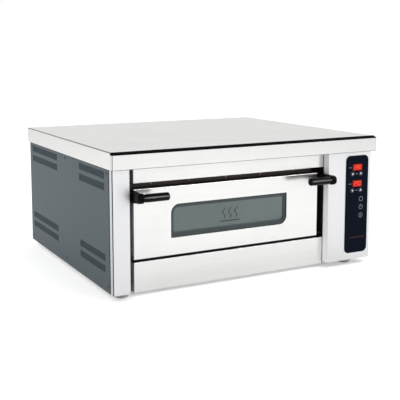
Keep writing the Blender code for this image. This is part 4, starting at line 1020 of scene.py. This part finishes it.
class OVEN_OT_back(bpy.types.Operator):
    """Make the back panel with its vents, screws, steam outlet and cable gland"""
    bl_idname = "oven.back"
    bl_label = "Back Panel"

    def execute(self, context):
        casing = context.scene.oven_casing
        low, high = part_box("rear_panel")
        y = high.y
        windows = self.windows(low, high)
        face = pierced_mesh((low.z, high.z), (low.x, high.x), windows, lambda a, b: (a, y, b))
        face.flip_normals()
        centre = sum(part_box("steam_outlet"), Vector()) / 2
        hole = peg_mesh(0.0116, (centre.x, y, centre.z), 32)
        made = worked(face, casing.sheet, cut=[hole], edge=0.0003)
        piece("rear_panel_sheet", made, CASING, [side_paint()], ["rear_panel"])
        count, pitch, thick, lead = 12, 0.0093, 0.0058, 0.0045
        for i, (a, b) in enumerate(windows):
            start = ((a[0] + b[0]) / 2, y - casing.sheet / 2 - casing.slit_inset, a[1] + lead)
            size = (b[0] - a[0] + OVERLAP, casing.sheet, thick)
            slats("rear_slats_%d" % (i + 1), start, count, (0, 0, pitch), size)
        inset = 0.016
        points = edge_points(low, high, inset, 0.014, 6, y)
        points += [(x, y, (low.z + high.z) / 2) for x in (low.x + inset, high.x - inset)]
        screws("rear_panel_screws", points, (0, 1, 0), CASING, casing.screw_radius)
        self.outlet(y)
        self.gland(y)
        return {"FINISHED"}

    def windows(self, low, high):
        """The two vents' openings, as (low, high) in X and Z."""
        half, height, foot = 0.039, 0.112, low.z + 0.172
        centres = [side * (high.x - 0.125) for side in (-1, 1)]
        return [((centre - half, foot), (centre + half, foot + height)) for centre in centres]

    def outlet(self, y):
        """The steam pipe with a pressed collar against the panel."""
        low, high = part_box("steam_outlet")
        radius = (high.z - low.z) / 2
        bore = radius - 0.002
        profile = [(bore, low.y), (radius, low.y), (radius, y + 0.0005), (radius + 0.007, y + 0.0005),
                   (radius + 0.0075, y + 0.001), (radius + 0.007, y + 0.0018), (radius + 0.002, y + 0.002),
                   (radius, y + 0.003), (radius, high.y - 0.0006), (radius - 0.0006, high.y),
                   (bore + 0.0005, high.y), (bore, high.y - 0.0006), (bore, low.y)]
        pipe = worked(turned_mesh(profile, (0, 1, 0), axis_line(low, high)))
        piece("steam_pipe", pipe, CASING, [chamber_steel()], ["steam_outlet"])

    def gland(self, y):
        """A moulded cable gland: a hexagonal nut and a domed cap with a closed membrane."""
        low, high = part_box("cable_gland")
        x, _, z = (low + high) / 2
        nut = prism_mesh(arc((x, z), (high.z - low.z) / 2, 0, 300, 5), "Y", y + 0.0003, y + 0.0052, 0.0006)
        start, end = y + 0.005, high.y
        profile = [(0, low.y), (0.0095, low.y), (0.0095, start), (0.0112, start), (0.0112, start + 0.0022),
                   (0.0100, end - 0.0008), (0.0080, end), (0.0052, end), (0.0048, end - 0.0016),
                   (0, end - 0.0018)]
        cap = turned_mesh(profile, (0, 1, 0), (x, 0, z), 40)
        piece("gland_moulding", joined([nut, cap]), CASING, [skin("Gland Nylon")], ["cable_gland"])


class OVEN_OT_feet(bpy.types.Operator):
    """Turn the four adjustable feet"""
    bl_idname = "oven.feet"
    bl_label = "Feet"

    def execute(self, context):
        rubber = skin("Foot Moulding", context.scene.oven_casing.foot_colour)
        for node in ["foot_%s_%s" % (end, side) for end in ("front", "rear") for side in ("left", "right")]:
            low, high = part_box(node)
            centre = ((low.x + high.x) / 2, (low.y + high.y) / 2, 0)
            r, top = (high.x - low.x) / 2, high.z
            profile = [(0, 0), (r * 0.86, 0), (r * 0.93, 0.0006), (r * 0.97, 0.0022), (r, 0.0045),
                       (r, 0.0100), (r * 0.97, 0.0116), (r * 0.90, 0.0124), (r * 0.62, 0.0136),
                       (r * 0.56, 0.0146), (r * 0.56, top - 0.0004), (r * 0.54, top), (0, top)]
            grooves = [ring_mesh(r * 0.985, r * 1.1, z - 0.0004, z + 0.0004, (0, 0, 1), centre)
                       for z in (0.0060, 0.0078)]
            body = worked(turned_mesh(profile, (0, 0, 1), centre), cut=grooves)
            piece(node + "_moulding", body, CASING, [rubber], [node])
        return {"FINISHED"}


# ---- door -----------------------------------------------------------------------------------
def window_outline(grow):
    """The leaf shape of the clear window in the door's skin, grown or shrunk all round."""
    lap, tight, wide = 0.006, 0.0015, 0.029
    radii = [max(tight + grow, tight), wide + grow] * 2
    return face_outline(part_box("window_bezel"), lap - grow, radii, 14)


class OVEN_OT_door_skin(bpy.types.Operator):
    """Fold the door's outer skin round its leaf-shaped window"""
    bl_idname = "oven.door_skin"
    bl_label = "Door Skin"

    def execute(self, context):
        low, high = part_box("door_skin")
        shell = box_mesh(low, high, ("+Y",), context.scene.oven_door.bend)
        hole = prism_mesh(window_outline(0), "Y", low.y - REACH, low.y + REACH)
        made = worked(shell, context.scene.oven_casing.sheet, cut=[hole], edge=0.0004)
        # painted shade: the skin's returns are darker, grey at the sides and near black at top and foot
        side_faces(made, 1, lambda c, n: abs(n.x) > TOWARDS and c.y > low.y + NEAR)
        side_faces(made, 2, lambda c, n: abs(n.z) > TOWARDS and c.y > low.y + NEAR)
        finishes = [casing_steel("X"), skin("Slot Grey"), skin("Slot Black")]
        piece("door_outer_skin", made, DOOR, finishes, ["door_skin"])
        return {"FINISHED"}


class OVEN_OT_window(bpy.types.Operator):
    """Make the window's dished bezel, the two panes and the plain heat symbol"""
    bl_idname = "oven.window"
    bl_label = "Door Window"

    def execute(self, context):
        door = context.scene.oven_door
        low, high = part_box("window_bezel")
        body = prism_mesh(window_outline(0.006), "Y", low.y, high.y)
        pocket = prism_mesh(window_outline(-0.0002), "Y", low.y - REACH, low.y + 0.004)
        hole = prism_mesh(window_outline(-0.0095), "Y", low.y - 2 * REACH, high.y + REACH)
        made = worked(body, cut=[pocket, hole], edge=door.window_rim * 0.4)
        piece("bezel_pressing", made, DOOR, [skin("Bezel Enamel", door.bezel)],
              ["window_bezel"])
        self.pane("outer", -0.005, coated_glass("Coated Glass", door.glass, 0.25, 0.09))
        self.border(door.border_foot)
        self.pane("inner", 0.015, coated_glass("Inner Glass", (0.30, 0.33, 0.32), 0.6, 0.07))
        self.symbol(door)
        return {"FINISHED"}

    def pane(self, side, grow, glass):
        """A pane of the window's shape."""
        low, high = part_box("window_glass_" + side)
        made = worked(prism_mesh(window_outline(grow), "Y", low.y, high.y, 0.0004))
        piece(side + "_pane", made, DOOR, [glass], ["window_glass_" + side])

    def border(self, foot):
        """The dark printed border of the outer pane, wider along its foot."""
        low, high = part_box("window_glass_outer")
        inner = [(x, z + foot if z < (low.z + high.z) / 2 else z) for x, z in window_outline(-0.0125)]
        border = prism_mesh(window_outline(-0.0097), "Y", low.y - LIFT, low.y)
        hole = prism_mesh(inner, "Y", low.y - REACH, low.y + REACH)
        piece("pane_border", worked(border, cut=[hole]), DOOR, [printed("Glass Border")])

    def symbol(self, door):
        """Three rising heat waves over a bar, fired onto the glass."""
        low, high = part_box("window_glass_outer")
        x, _, z = (low + high) / 2
        width, line = door.mark_width, door.mark_line
        apart, swing, waves, rise, drop, steps = 0.30, 0.06, 1.25, 0.46, 0.16, 28
        marks = []
        for column in (-1, 0, 1):
            centres = [(x + width * (column * apart + swing * math.sin(math.tau * waves * t / steps)),
                        z + width * (rise * t / steps - drop)) for t in range(steps + 1)]
            left, right = [[(cx + way * line * 0.6, cz) for cx, cz in centres] for way in (-1, 1)]
            marks.append(prism_mesh(left + right[::-1], "Y", low.y - LIFT, low.y))
        foot = z - width * apart
        marks.append(bar_mesh((x - width / 2, foot), (x + width / 2, foot + line), low.y - LIFT, low.y))
        piece("heat_symbol", joined(marks), DOOR, [printed("Fired Mark")])


class OVEN_OT_handles(bpy.types.Operator):
    """Mould the two lever arms and turn the two grips"""
    bl_idname = "oven.handles"
    bl_label = "Handles"

    def execute(self, context):
        door = context.scene.oven_door
        for side, inward in (("left", 1), ("right", -1)):
            self.arm(side, inward, door.handle)
            self.grip(side, inward, door.grip_waist)
        return {"FINISHED"}

    def arm(self, side, inward, tint):
        """A flat lever with a round eye, thicker round the eye where the grip is screwed on."""
        low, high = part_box("handle_arm_" + side)
        _, y, z = sum(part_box("handle_grip_" + side), Vector()) / 2
        eye = y - low.y
        outline = arc((y, z), eye, 85, 280, 36) + [(high.y, low.z), (high.y, high.z)]
        lever = prism_mesh(outline, "X", low.x + 0.002, high.x - 0.002, 0.0032, 4)
        near, far = (low.x, high.x) if inward < 0 else (high.x, low.x)
        profile = [(0, 0), (eye - 0.0012, 0), (eye - 0.0003, 0.0004), (eye, 0.0012), (eye, 0.0048),
                   (eye - 0.0012, 0.0062), (eye - 0.0030, 0.0068), (0, 0.0068)]
        collar = turned_mesh(profile, (-inward, 0, 0), (near, y, z))
        profile = [(0, 0), (0.0072, 0), (0.0085, 0.0010), (0.0088, 0.0040), (0, 0.0040)]
        cap = turned_mesh(profile, (inward, 0, 0), (far, y, z), 40)
        piece("handle_arm_%s_moulding" % side, joined([lever, collar, cap]), DOOR,
              [skin("Arm Bakelite", tint)], ["handle_arm_" + side])

    def grip(self, side, inward, waist):
        """A round grip that swells from its waist and ends in a rounded edge with a shallow dish."""
        low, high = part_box("handle_grip_" + side)
        radius = (high.z - low.z) / 2
        span = high.x - low.x
        centre = (low.x if inward > 0 else high.x, (low.y + high.y) / 2, (low.z + high.z) / 2)
        neck, body, round_end = waist + 0.0004, radius - 0.0006, 0.0045
        profile = [(0, 0), (waist, 0), (waist, 0.0035), (neck, 0.006)]
        profile += [(neck + (radius - neck) * math.sin(math.pi / 2 * t / 6), 0.006 + 0.012 * t / 6)
                    for t in range(1, 7)]
        profile += [(radius - 0.0002, span - 0.020), (body, span - round_end)]
        profile += [(body - round_end * (1 - math.cos(math.radians(a))),
                     span - round_end + round_end * math.sin(math.radians(a))) for a in range(15, 91, 15)]
        profile += [(0.0042, span), (0.0036, span - 0.0008), (0, span - 0.0008)]
        mesh = worked(turned_mesh(profile, (inward, 0, 0), centre, 56))
        piece("handle_grip_%s_turning" % side, mesh, DOOR, [handle_black()],
              ["handle_grip_" + side])


class OVEN_OT_door_back(bpy.types.Operator):
    """Fit the door's braided seal and the screws of its liner"""
    bl_idname = "oven.door_back"
    bl_label = "Door Back"

    def execute(self, context):
        low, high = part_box("door_seal")
        inset = 0.0045
        ring = [Vector(point) for point in face_outline((low, high), inset, [0.011] * 4, 12)]
        rope = self.rope(ring, (low.y + high.y) / 2, inset, (high.y - low.y) / 2)
        piece("seal_braid", rope, DOOR, [braid()], ["door_seal"])
        low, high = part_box("door_liner")
        edge = 0.0065
        points = edge_points(low, high, edge, edge, 6, high.y)
        screws("liner_screws", points, (0, 1, 0), DOOR, 0.0030)
        return {"FINISHED"}

    def rope(self, ring, y, half_width, half_depth):
        """A flattened rope round a closed outline, with a UV map that follows the braid."""
        bm = bmesh.new()
        uv_map = bm.loops.layers.uv.new("braid")
        sides, count = 10, len(ring)
        flattened, strands_along, strands_round = 0.98, 330, 0.9
        loops, travelled = [], [0.0]
        for i, point in enumerate(ring):
            after = ring[(i + 1) % count]
            along = (after - ring[i - 1]).normalized()
            turn = []
            for s in range(sides):
                angle = math.tau * s / sides
                reach = half_width * math.cos(angle) * flattened
                turn.append(bm.verts.new((point.x + along.y * reach, y + half_depth * math.sin(angle),
                                          point.y - along.x * reach)))
            loops.append(turn)
            travelled.append(travelled[-1] + (after - point).length)
        for i in range(count):
            for s in range(sides):
                j, t = (i + 1) % count, (s + 1) % sides
                face = bm.faces.new((loops[i][s], loops[j][s], loops[j][t], loops[i][t]))
                corners = ((i, s), (i + 1, s), (i + 1, s + 1), (i, s + 1))
                for loop, (u, v) in zip(face.loops, corners):
                    loop[uv_map].uv = (travelled[u] * strands_along, v * strands_round)
        bmesh.ops.recalc_face_normals(bm, faces=bm.faces)
        return to_mesh(bm, 80)


# ---- chamber --------------------------------------------------------------------------------
class OVEN_OT_chamber(bpy.types.Operator):
    """Lay the hearth stones, bend the heating rods and fit the lamp and the mouth's screws"""
    bl_idname = "oven.chamber"
    bl_label = "Chamber"

    def execute(self, context):
        for node in ("hearth_stone_front", "hearth_stone_rear"):
            slab = worked(box_mesh(*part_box(node)), edge=0.0022)
            piece(node + "_slab", slab, CASING, [stone()], [node])
        for node in ("upper_element", "lower_element"):
            self.rod(node)
        self.lamp()
        low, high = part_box("mouth_frame")
        z = (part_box("chamber_ceiling")[0].z + high.z) / 2 + 0.012
        points = [(x, low.y, z) for x in spread(low.x + 0.10, high.x - 0.10, 5)]
        screws("mouth_screws", points, (0, -1, 0), CASING, 0.0028, chamber_steel())
        return {"FINISHED"}

    def rod(self, node):
        """Six legs joined by half circles, with a porcelain bush on each tail."""
        low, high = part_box(node)
        z = (low.z + high.z) / 2
        legs, radius, clear = 6, 0.00425, 0.040
        first, last = low.x + radius, high.x - radius
        pitch = (last - first) / (legs - 1)
        bend = pitch / 2
        near, far = low.y + radius + bend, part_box("chamber_wall_rear")[0].y - clear - bend
        path = [(first, high.y, z)]
        for leg in range(legs - 1):
            y, end = (near, 360) if leg % 2 == 0 else (far, 0)
            path += [(*point, z) for point in arc((first + (leg + 0.5) * pitch, y), bend, 180, end, 20)]
        path.append((last, high.y, z))
        piece(node + "_rod", joined([tube_mesh(path, radius, 4)]), CASING, [skin("Rod Oxide")],
              [node])
        profile = [(0.0044, -0.020), (0.0075, -0.020), (0.0080, -0.018), (0.0080, -0.008), (0.0072, -0.006),
                   (0.0044, -0.006), (0.0044, -0.020)]
        bushes = [turned_mesh(profile, (0, 1, 0), (x, high.y, z), 28) for x in (first, last)]
        piece(node + "_bushes", joined(bushes), CASING, [skin("Bush Porcelain")])

    def lamp(self):
        """A domed frosted lens in a steel ring."""
        low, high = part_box("chamber_lamp")
        r, depth = (high.z - low.z) / 2, high.x - low.x
        centre = (low.x, (low.y + high.y) / 2, (low.z + high.z) / 2)
        ring = [(r * 0.74, 0.0012), (r * 0.78, 0.0002), (r * 0.92, 0), (r * 0.98, 0.0008), (r, 0.0026),
                (r, 0.0045), (r * 0.74, 0.0045), (r * 0.74, 0.0012)]
        piece("lamp_ring", worked(turned_mesh(ring, (1, 0, 0), centre, 56)), CASING,
              [metal("Fastener Steel")])
        lens = [(0, 0.0002), (r * 0.3, 0.0003), (r * 0.55, 0.0009), (r * 0.735, 0.0022),
                (r * 0.735, 0.0040), (r * 0.64, 0.0044), (r * 0.64, depth), (0, depth)]
        glass = coated_glass("Lamp Lens", (0.80, 0.78, 0.70), 0.15, 0.35)
        piece("lamp_lens", worked(turned_mesh(lens, (1, 0, 0), centre, 56)), CASING, [glass],
              ["chamber_lamp"])


# ---- controls -------------------------------------------------------------------------------
KEYS = ("button_upper_down", "button_upper_up", "button_lower_down", "button_lower_up", "button_program",
        "button_lamp", "button_power")
DISPLAYS = ("display_upper", "display_lower")
STROKES = {"0": "abcdef", "1": "bc", "2": "abged", "3": "abgcd", "4": "fgbc", "5": "afgcd", "6": "afgedc",
           "7": "abc", "8": "abcdefg", "9": "abcdfg"}


class OVEN_OT_control_panel(bpy.types.Operator):
    """Make the control overlay and its printing"""
    bl_idname = "oven.control_panel"
    bl_label = "Control Overlay"

    def execute(self, context):
        controls = context.scene.oven_controls
        low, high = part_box("control_overlay")
        plate = prism_mesh(face_outline((low, high), 0, [0.018] * 4, 14), "Y", low.y, high.y)
        tools = [opening_mesh(box, -GAP, low.y, high.y) for box in map(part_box, DISPLAYS)]
        for a, b in map(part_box, KEYS):
            tools.append(peg_mesh((b.x - a.x) / 2 + GAP, ((a.x + b.x) / 2, low.y, (a.z + b.z) / 2), 40))
        piece("overlay_film", worked(plate, cut=tools, edge=0.0002), CASING,
              [skin("Overlay Film", controls.overlay)], ["control_overlay"])
        self.printing(controls, low, high)
        return {"FINISHED"}

    def printing(self, controls, low, high):
        """Rings round the arrow keys, plain bars for small words, and one thin line."""
        span = (low.y - LIFT, low.y)

        def bar(x, z, half_width, half_height):
            """A printed bar round a point."""
            return bar_mesh((x - half_width, z - half_height), (x + half_width, z + half_height), *span)

        light, dim = [], []
        for a, b in map(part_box, KEYS[:4]):
            radius = (b.x - a.x) / 2
            dim.append(ring_mesh(radius + 0.0005, radius + 0.0016, *span, (0, 1, 0), axis_line(a, b), 40))
        for a, b in map(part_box, DISPLAYS):
            dim.append(bar(a.x - 0.01225, (a.z + b.z) / 2, 0.00625, 0.0014))
        for row in ("upper", "lower"):
            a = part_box("button_%s_down" % row)[1]
            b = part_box("button_%s_up" % row)[0]
            light.append(bar((a.x + b.x) / 2, (a.z + b.z) / 2, 0.0045, 0.0011))
        line = bar((low.x + high.x) / 2 + 0.0055, low.z + 0.055, 0.032, 0.0009)
        piece("overlay_marks", joined(light), CASING, [printed("Warm Ink")])
        piece("overlay_rings", joined(dim), CASING, [printed("Dim Ink")])
        piece("overlay_line", line, CASING, [printed("Red Ink", controls.line)])


class OVEN_OT_displays(bpy.types.Operator):
    """Light the two displays and write their numbers"""
    bl_idname = "oven.displays"
    bl_label = "Displays"

    def execute(self, context):
        controls = context.scene.oven_controls
        advance = controls.digit_width * 1.5
        for node, number in zip(DISPLAYS, (controls.upper_reading, controls.lower_reading)):
            low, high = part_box(node)
            x, _, z = (low + high) / 2
            filter_glow = glowing("Display Filter", controls.display, 0.10)
            piece(node + "_window", worked(box_mesh(low, high), edge=0.0005), CASING,
                  [filter_glow], [node])
            digits = []
            for i, figure in enumerate("%03d" % number):
                digits += self.digit(figure, x + (i - 1) * advance, z, low.y, controls)
            piece(node + "_digits", joined(digits), CASING,
                  [glowing("Display Digits", controls.digit, 0.45)])
        return {"FINISHED"}

    def digit(self, figure, x, z, y, controls):
        """One seven-stroke figure centred on a point."""
        w, h, half = controls.digit_width / 2, controls.digit_height / 2, 0.00065
        ends = {"a": (-w, h, w, h), "b": (w, 0, w, h), "c": (w, -h, w, 0), "d": (-w, -h, w, -h),
                "e": (-w, -h, -w, 0), "f": (-w, 0, -w, h), "g": (-w, 0, w, 0)}
        made = []
        for x0, z0, x1, z1 in (ends[stroke] for stroke in STROKES[figure]):
            dx, dz = (-half * 1.2, half) if z0 == z1 else (half, -half * 1.2)
            made.append(bar_mesh((x + x0 - dx, z + z0 - dz), (x + x1 + dx, z + z1 + dz), y - LIFT, y))
        return made


class OVEN_OT_keys(bpy.types.Operator):
    """Emboss the seven keys and print their signs"""
    bl_idname = "oven.keys"
    bl_label = "Keys"

    def execute(self, context):
        ink = printed("Light Ink", context.scene.oven_controls.ink)
        for node in KEYS:
            low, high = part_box(node)
            y, r = low.y, (high.x - low.x) / 2
            profile = [(0, y + 0.0003), (r * 0.55, y + 0.00026), (r * 0.78, y), (r - 0.0006, y + 0.0001),
                       (r - 0.0001, y + 0.0006), (r, y + 0.0010), (r, high.y), (0, high.y)]
            body = node + "_key"
            dome = turned_mesh(profile, (0, 1, 0), axis_line(low, high))
            piece(node + "_dome", dome, body, [skin("Key Film")], [node])
            sign = self.sign(node, (low + high) / 2, r, (y - LIFT, y + 0.0004))
            tint = ink if node.endswith(("_up", "_down")) else printed("Grey Ink")
            piece(node + "_sign", sign, body, [tint])
        return {"FINISHED"}

    def sign(self, node, centre, radius, span):
        """A triangle for up and down; a ring for the round keys, with a stroke or a cross in two."""
        x, _, z = centre
        if node.endswith(("_up", "_down")):
            reach = radius * (0.80 if node.endswith("_up") else -0.80)
            half = reach * 0.85
            return prism_mesh([(x - half, z - reach * 0.5), (x + half, z - reach * 0.5), (x, z + reach)],
                              "Y", *span)
        inner = radius * 0.74
        parts = [ring_mesh(inner, radius * 0.92, *span, (0, 1, 0), (x, 0, z), 40)]
        if node == "button_power":
            arm = radius * 0.42
            thin = arm * 0.14
            parts += [bar_mesh((x - a, z - b), (x + a, z + b), *span)
                      for a, b in ((thin, arm), (arm, thin))]
        if node == "button_lamp":
            parts.append(bar_mesh((x - 0.0007, z - inner * 0.15), (x + 0.0007, z + inner * 0.75), *span))
        return joined(parts)


# ---- finishes of the carried-over nodes -----------------------------------------------------
class OVEN_OT_finishes(bpy.types.Operator):
    """Give the frame's remaining pieces their finishes"""
    bl_idname = "oven.finishes"
    bl_label = "Finishes"

    def execute(self, context):
        mouth = heated("Mouth Steel", (0.040, 0.024, 0.020), (0.012, 0.007, 0.006), 0.7, 0.45, 0.0)
        walls = ["chamber_wall_" + side for side in ("left", "right", "rear")]
        pins = ["hinge_%s_%s" % (part, side) for part in ("pin", "spring") for side in ("left", "right")]
        for material, nodes in (
                (casing_steel("X"), ["base_tray"]), (casing_steel("Y"), ["electrics_divider"]),
                # painted shade: the slot plates are near black
                (skin("Slot Black"), ["slot_plate_left", "slot_plate_right"]), (mouth, ["mouth_frame"]),
                (chamber_steel(), ["chamber_floor", "chamber_ceiling", *walls, "door_liner"]),
                (wool(), ["insulation_jacket"]),
                (skin("Board Lacquer"), ["control_board"]),
                (skin("Relay Moulding"), ["contactor", "terminal_block"]),
                (metal("Fastener Steel"), ["thermocouple"]), (metal("Pin Steel"), pins)):
            for node in nodes:
                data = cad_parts[node].data
                data.materials.clear()
                data.materials.append(material)
        return {"FINISHED"}


# ---- stage ----------------------------------------------------------------------------------
LIGHTS = {  # place, target, width and height
    "Key": ((2.4, -2.3, 2.6), (0, -0.4, 0.3), (2.4, 0.9)),
    "Fill": ((-3.2, -1.6, 2.2), (-0.3, -0.3, 0.2), (2.0, 2.0)),
    "Rim": ((-3.0, 1.4, 2.6), (-1.2, 1.0, 0.0), (2.0, 2.0)),
    "Low": ((0.35, -1.15, 1.0), (0.1, -0.62, 0.0), (1.2, 0.25)),
    "Strip": ((1.1, -3.0, 1.05), (0, -0.4, 0.3), (2.0, 0.12)),
}


class OVEN_OT_stage(bpy.types.Operator):
    """Lay the floor, hang the lights and stand the camera"""
    bl_idname = "oven.stage"
    bl_label = "Stage"

    def execute(self, context):
        settings = context.scene.oven_stage
        self.floor(settings)
        self.surroundings(context.scene, settings)
        for name, (place, target, size) in LIGHTS.items():
            light = bpy.data.lights.new(name + " Light", "AREA")
            light.shape = "RECTANGLE"
            light.size, light.size_y = size
            light.energy = getattr(settings, name.lower())
            ob = linked(name + " Light", light)
            ob.location = place
            ob.rotation_euler = (Vector(target) - Vector(place)).to_track_quat("-Z", "Y").to_euler()
        self.camera(context.scene, settings)
        context.scene.view_settings.view_transform = "Standard"
        return {"FINISHED"}

    def floor(self, settings):
        """A wide pale floor, a little brighter to the camera than to the oven."""
        reach = 30.0
        mesh = bpy.data.meshes.new("floor")
        corners = [(-reach, -reach, 0), (reach, -reach, 0), (reach, reach, 0), (-reach, reach, 0)]
        mesh.from_pydata(corners, [], [(0, 1, 2, 3)])
        material, tree, shader = shader_of("Studio Floor")
        seen = add(tree, "ShaderNodeLightPath").outputs["Is Camera Ray"]
        glow = combined(tree, "MULTIPLY", seen, settings.lift)
        tree.links.new(glow, shader.inputs["Emission Strength"])
        for label, value in (("Base Color", (*settings.floor, 1)), ("Roughness", 0.9),
                             ("Specular IOR Level", 0.1), ("Emission Color", (1, 1, 1, 1))):
            shader.inputs[label].default_value = value
        mesh.materials.append(material)
        linked("floor", mesh)

    def surroundings(self, scene, settings):
        """A white studio; reflections also see its darker ceiling and the dark place of the camera."""
        world = bpy.data.worlds.new("Studio")
        world.use_nodes = True
        scene.world = world
        tree = world.node_tree
        back = tree.nodes["Background"]
        way = add(tree, "ShaderNodeTexCoord").outputs["Generated"]
        height = add(tree, "ShaderNodeSeparateXYZ", {0: way}).outputs[2]
        ceiling = remap(tree, height, 0.30, 0.75, settings.wall, settings.ceiling)
        door_middle, shade = Vector((0, -0.4, 0.25)), 0.35
        toward = (Vector(settings.stand) - door_middle).normalized()
        facing = add(tree, "ShaderNodeVectorMath", {0: way, 1: toward}, operation="DOT_PRODUCT")
        blind = remap(tree, facing.outputs["Value"], 0.90, 0.98, 1.0, shade)
        strength = combined(tree, "MULTIPLY", ceiling, blind)
        path = add(tree, "ShaderNodeLightPath").outputs
        for ray, brightness in (("Is Diffuse Ray", settings.sky), ("Is Camera Ray", 1.0)):
            strength = add(tree, "ShaderNodeMix", {0: path[ray], 2: strength, 3: brightness},
                           data_type="FLOAT").outputs[0]
        back.inputs["Color"].default_value = (1, 1, 1, 1)
        tree.links.new(strength, back.inputs["Strength"])

    def camera(self, scene, settings):
        """Stand the camera at the oven's front left."""
        data = bpy.data.cameras.new("Camera")
        data.lens = settings.lens
        data.shift_y = settings.rise
        ob = linked("Camera", data)
        ob.location = settings.stand
        ob.rotation_euler = (math.pi / 2 + settings.tilt, 0, settings.pan)
        scene.camera = ob


# ---- add-on ---------------------------------------------------------------------------------
PIECES = (OVEN_OT_cover, OVEN_OT_posts, OVEN_OT_front_panels, OVEN_OT_side_panels, OVEN_OT_back,
          OVEN_OT_feet, OVEN_OT_door_skin, OVEN_OT_window, OVEN_OT_handles, OVEN_OT_door_back,
          OVEN_OT_chamber, OVEN_OT_control_panel, OVEN_OT_displays, OVEN_OT_keys, OVEN_OT_finishes,
          OVEN_OT_stage)
SETTINGS = {"oven_casing": CasingSettings, "oven_door": DoorSettings, "oven_controls": ControlSettings,
            "oven_stage": StageSettings}


class OVEN_PT_panel(bpy.types.Panel):
    """Sizes, colours and steps of the oven's looks"""
    bl_label = "Deck Oven"
    bl_idname = "OVEN_PT_panel"
    bl_space_type = "VIEW_3D"
    bl_region_type = "UI"
    bl_category = "Deck Oven"

    def draw(self, context):
        for name, kind in SETTINGS.items():
            box = self.layout.box()
            for label in kind.__annotations__:
                box.prop(getattr(context.scene, name), label)
        for kind in PIECES:
            self.layout.operator(kind.bl_idname)


def register():
    """Register the settings, the steps and the panel."""
    for kind in (*SETTINGS.values(), *PIECES, OVEN_PT_panel):
        bpy.utils.register_class(kind)
    for name, kind in SETTINGS.items():
        setattr(bpy.types.Scene, name, PointerProperty(type=kind))


def unregister():
    """Take the settings, the steps and the panel away again."""
    for name in SETTINGS:
        delattr(bpy.types.Scene, name)
    for kind in reversed((*SETTINGS.values(), *PIECES, OVEN_PT_panel)):
        bpy.utils.unregister_class(kind)


def main():
    """Run every step in order."""
    register()
    for kind in PIECES:
        getattr(bpy.ops.oven, kind.bl_idname.split(".")[1])()


if __name__ == "__main__":
    main()
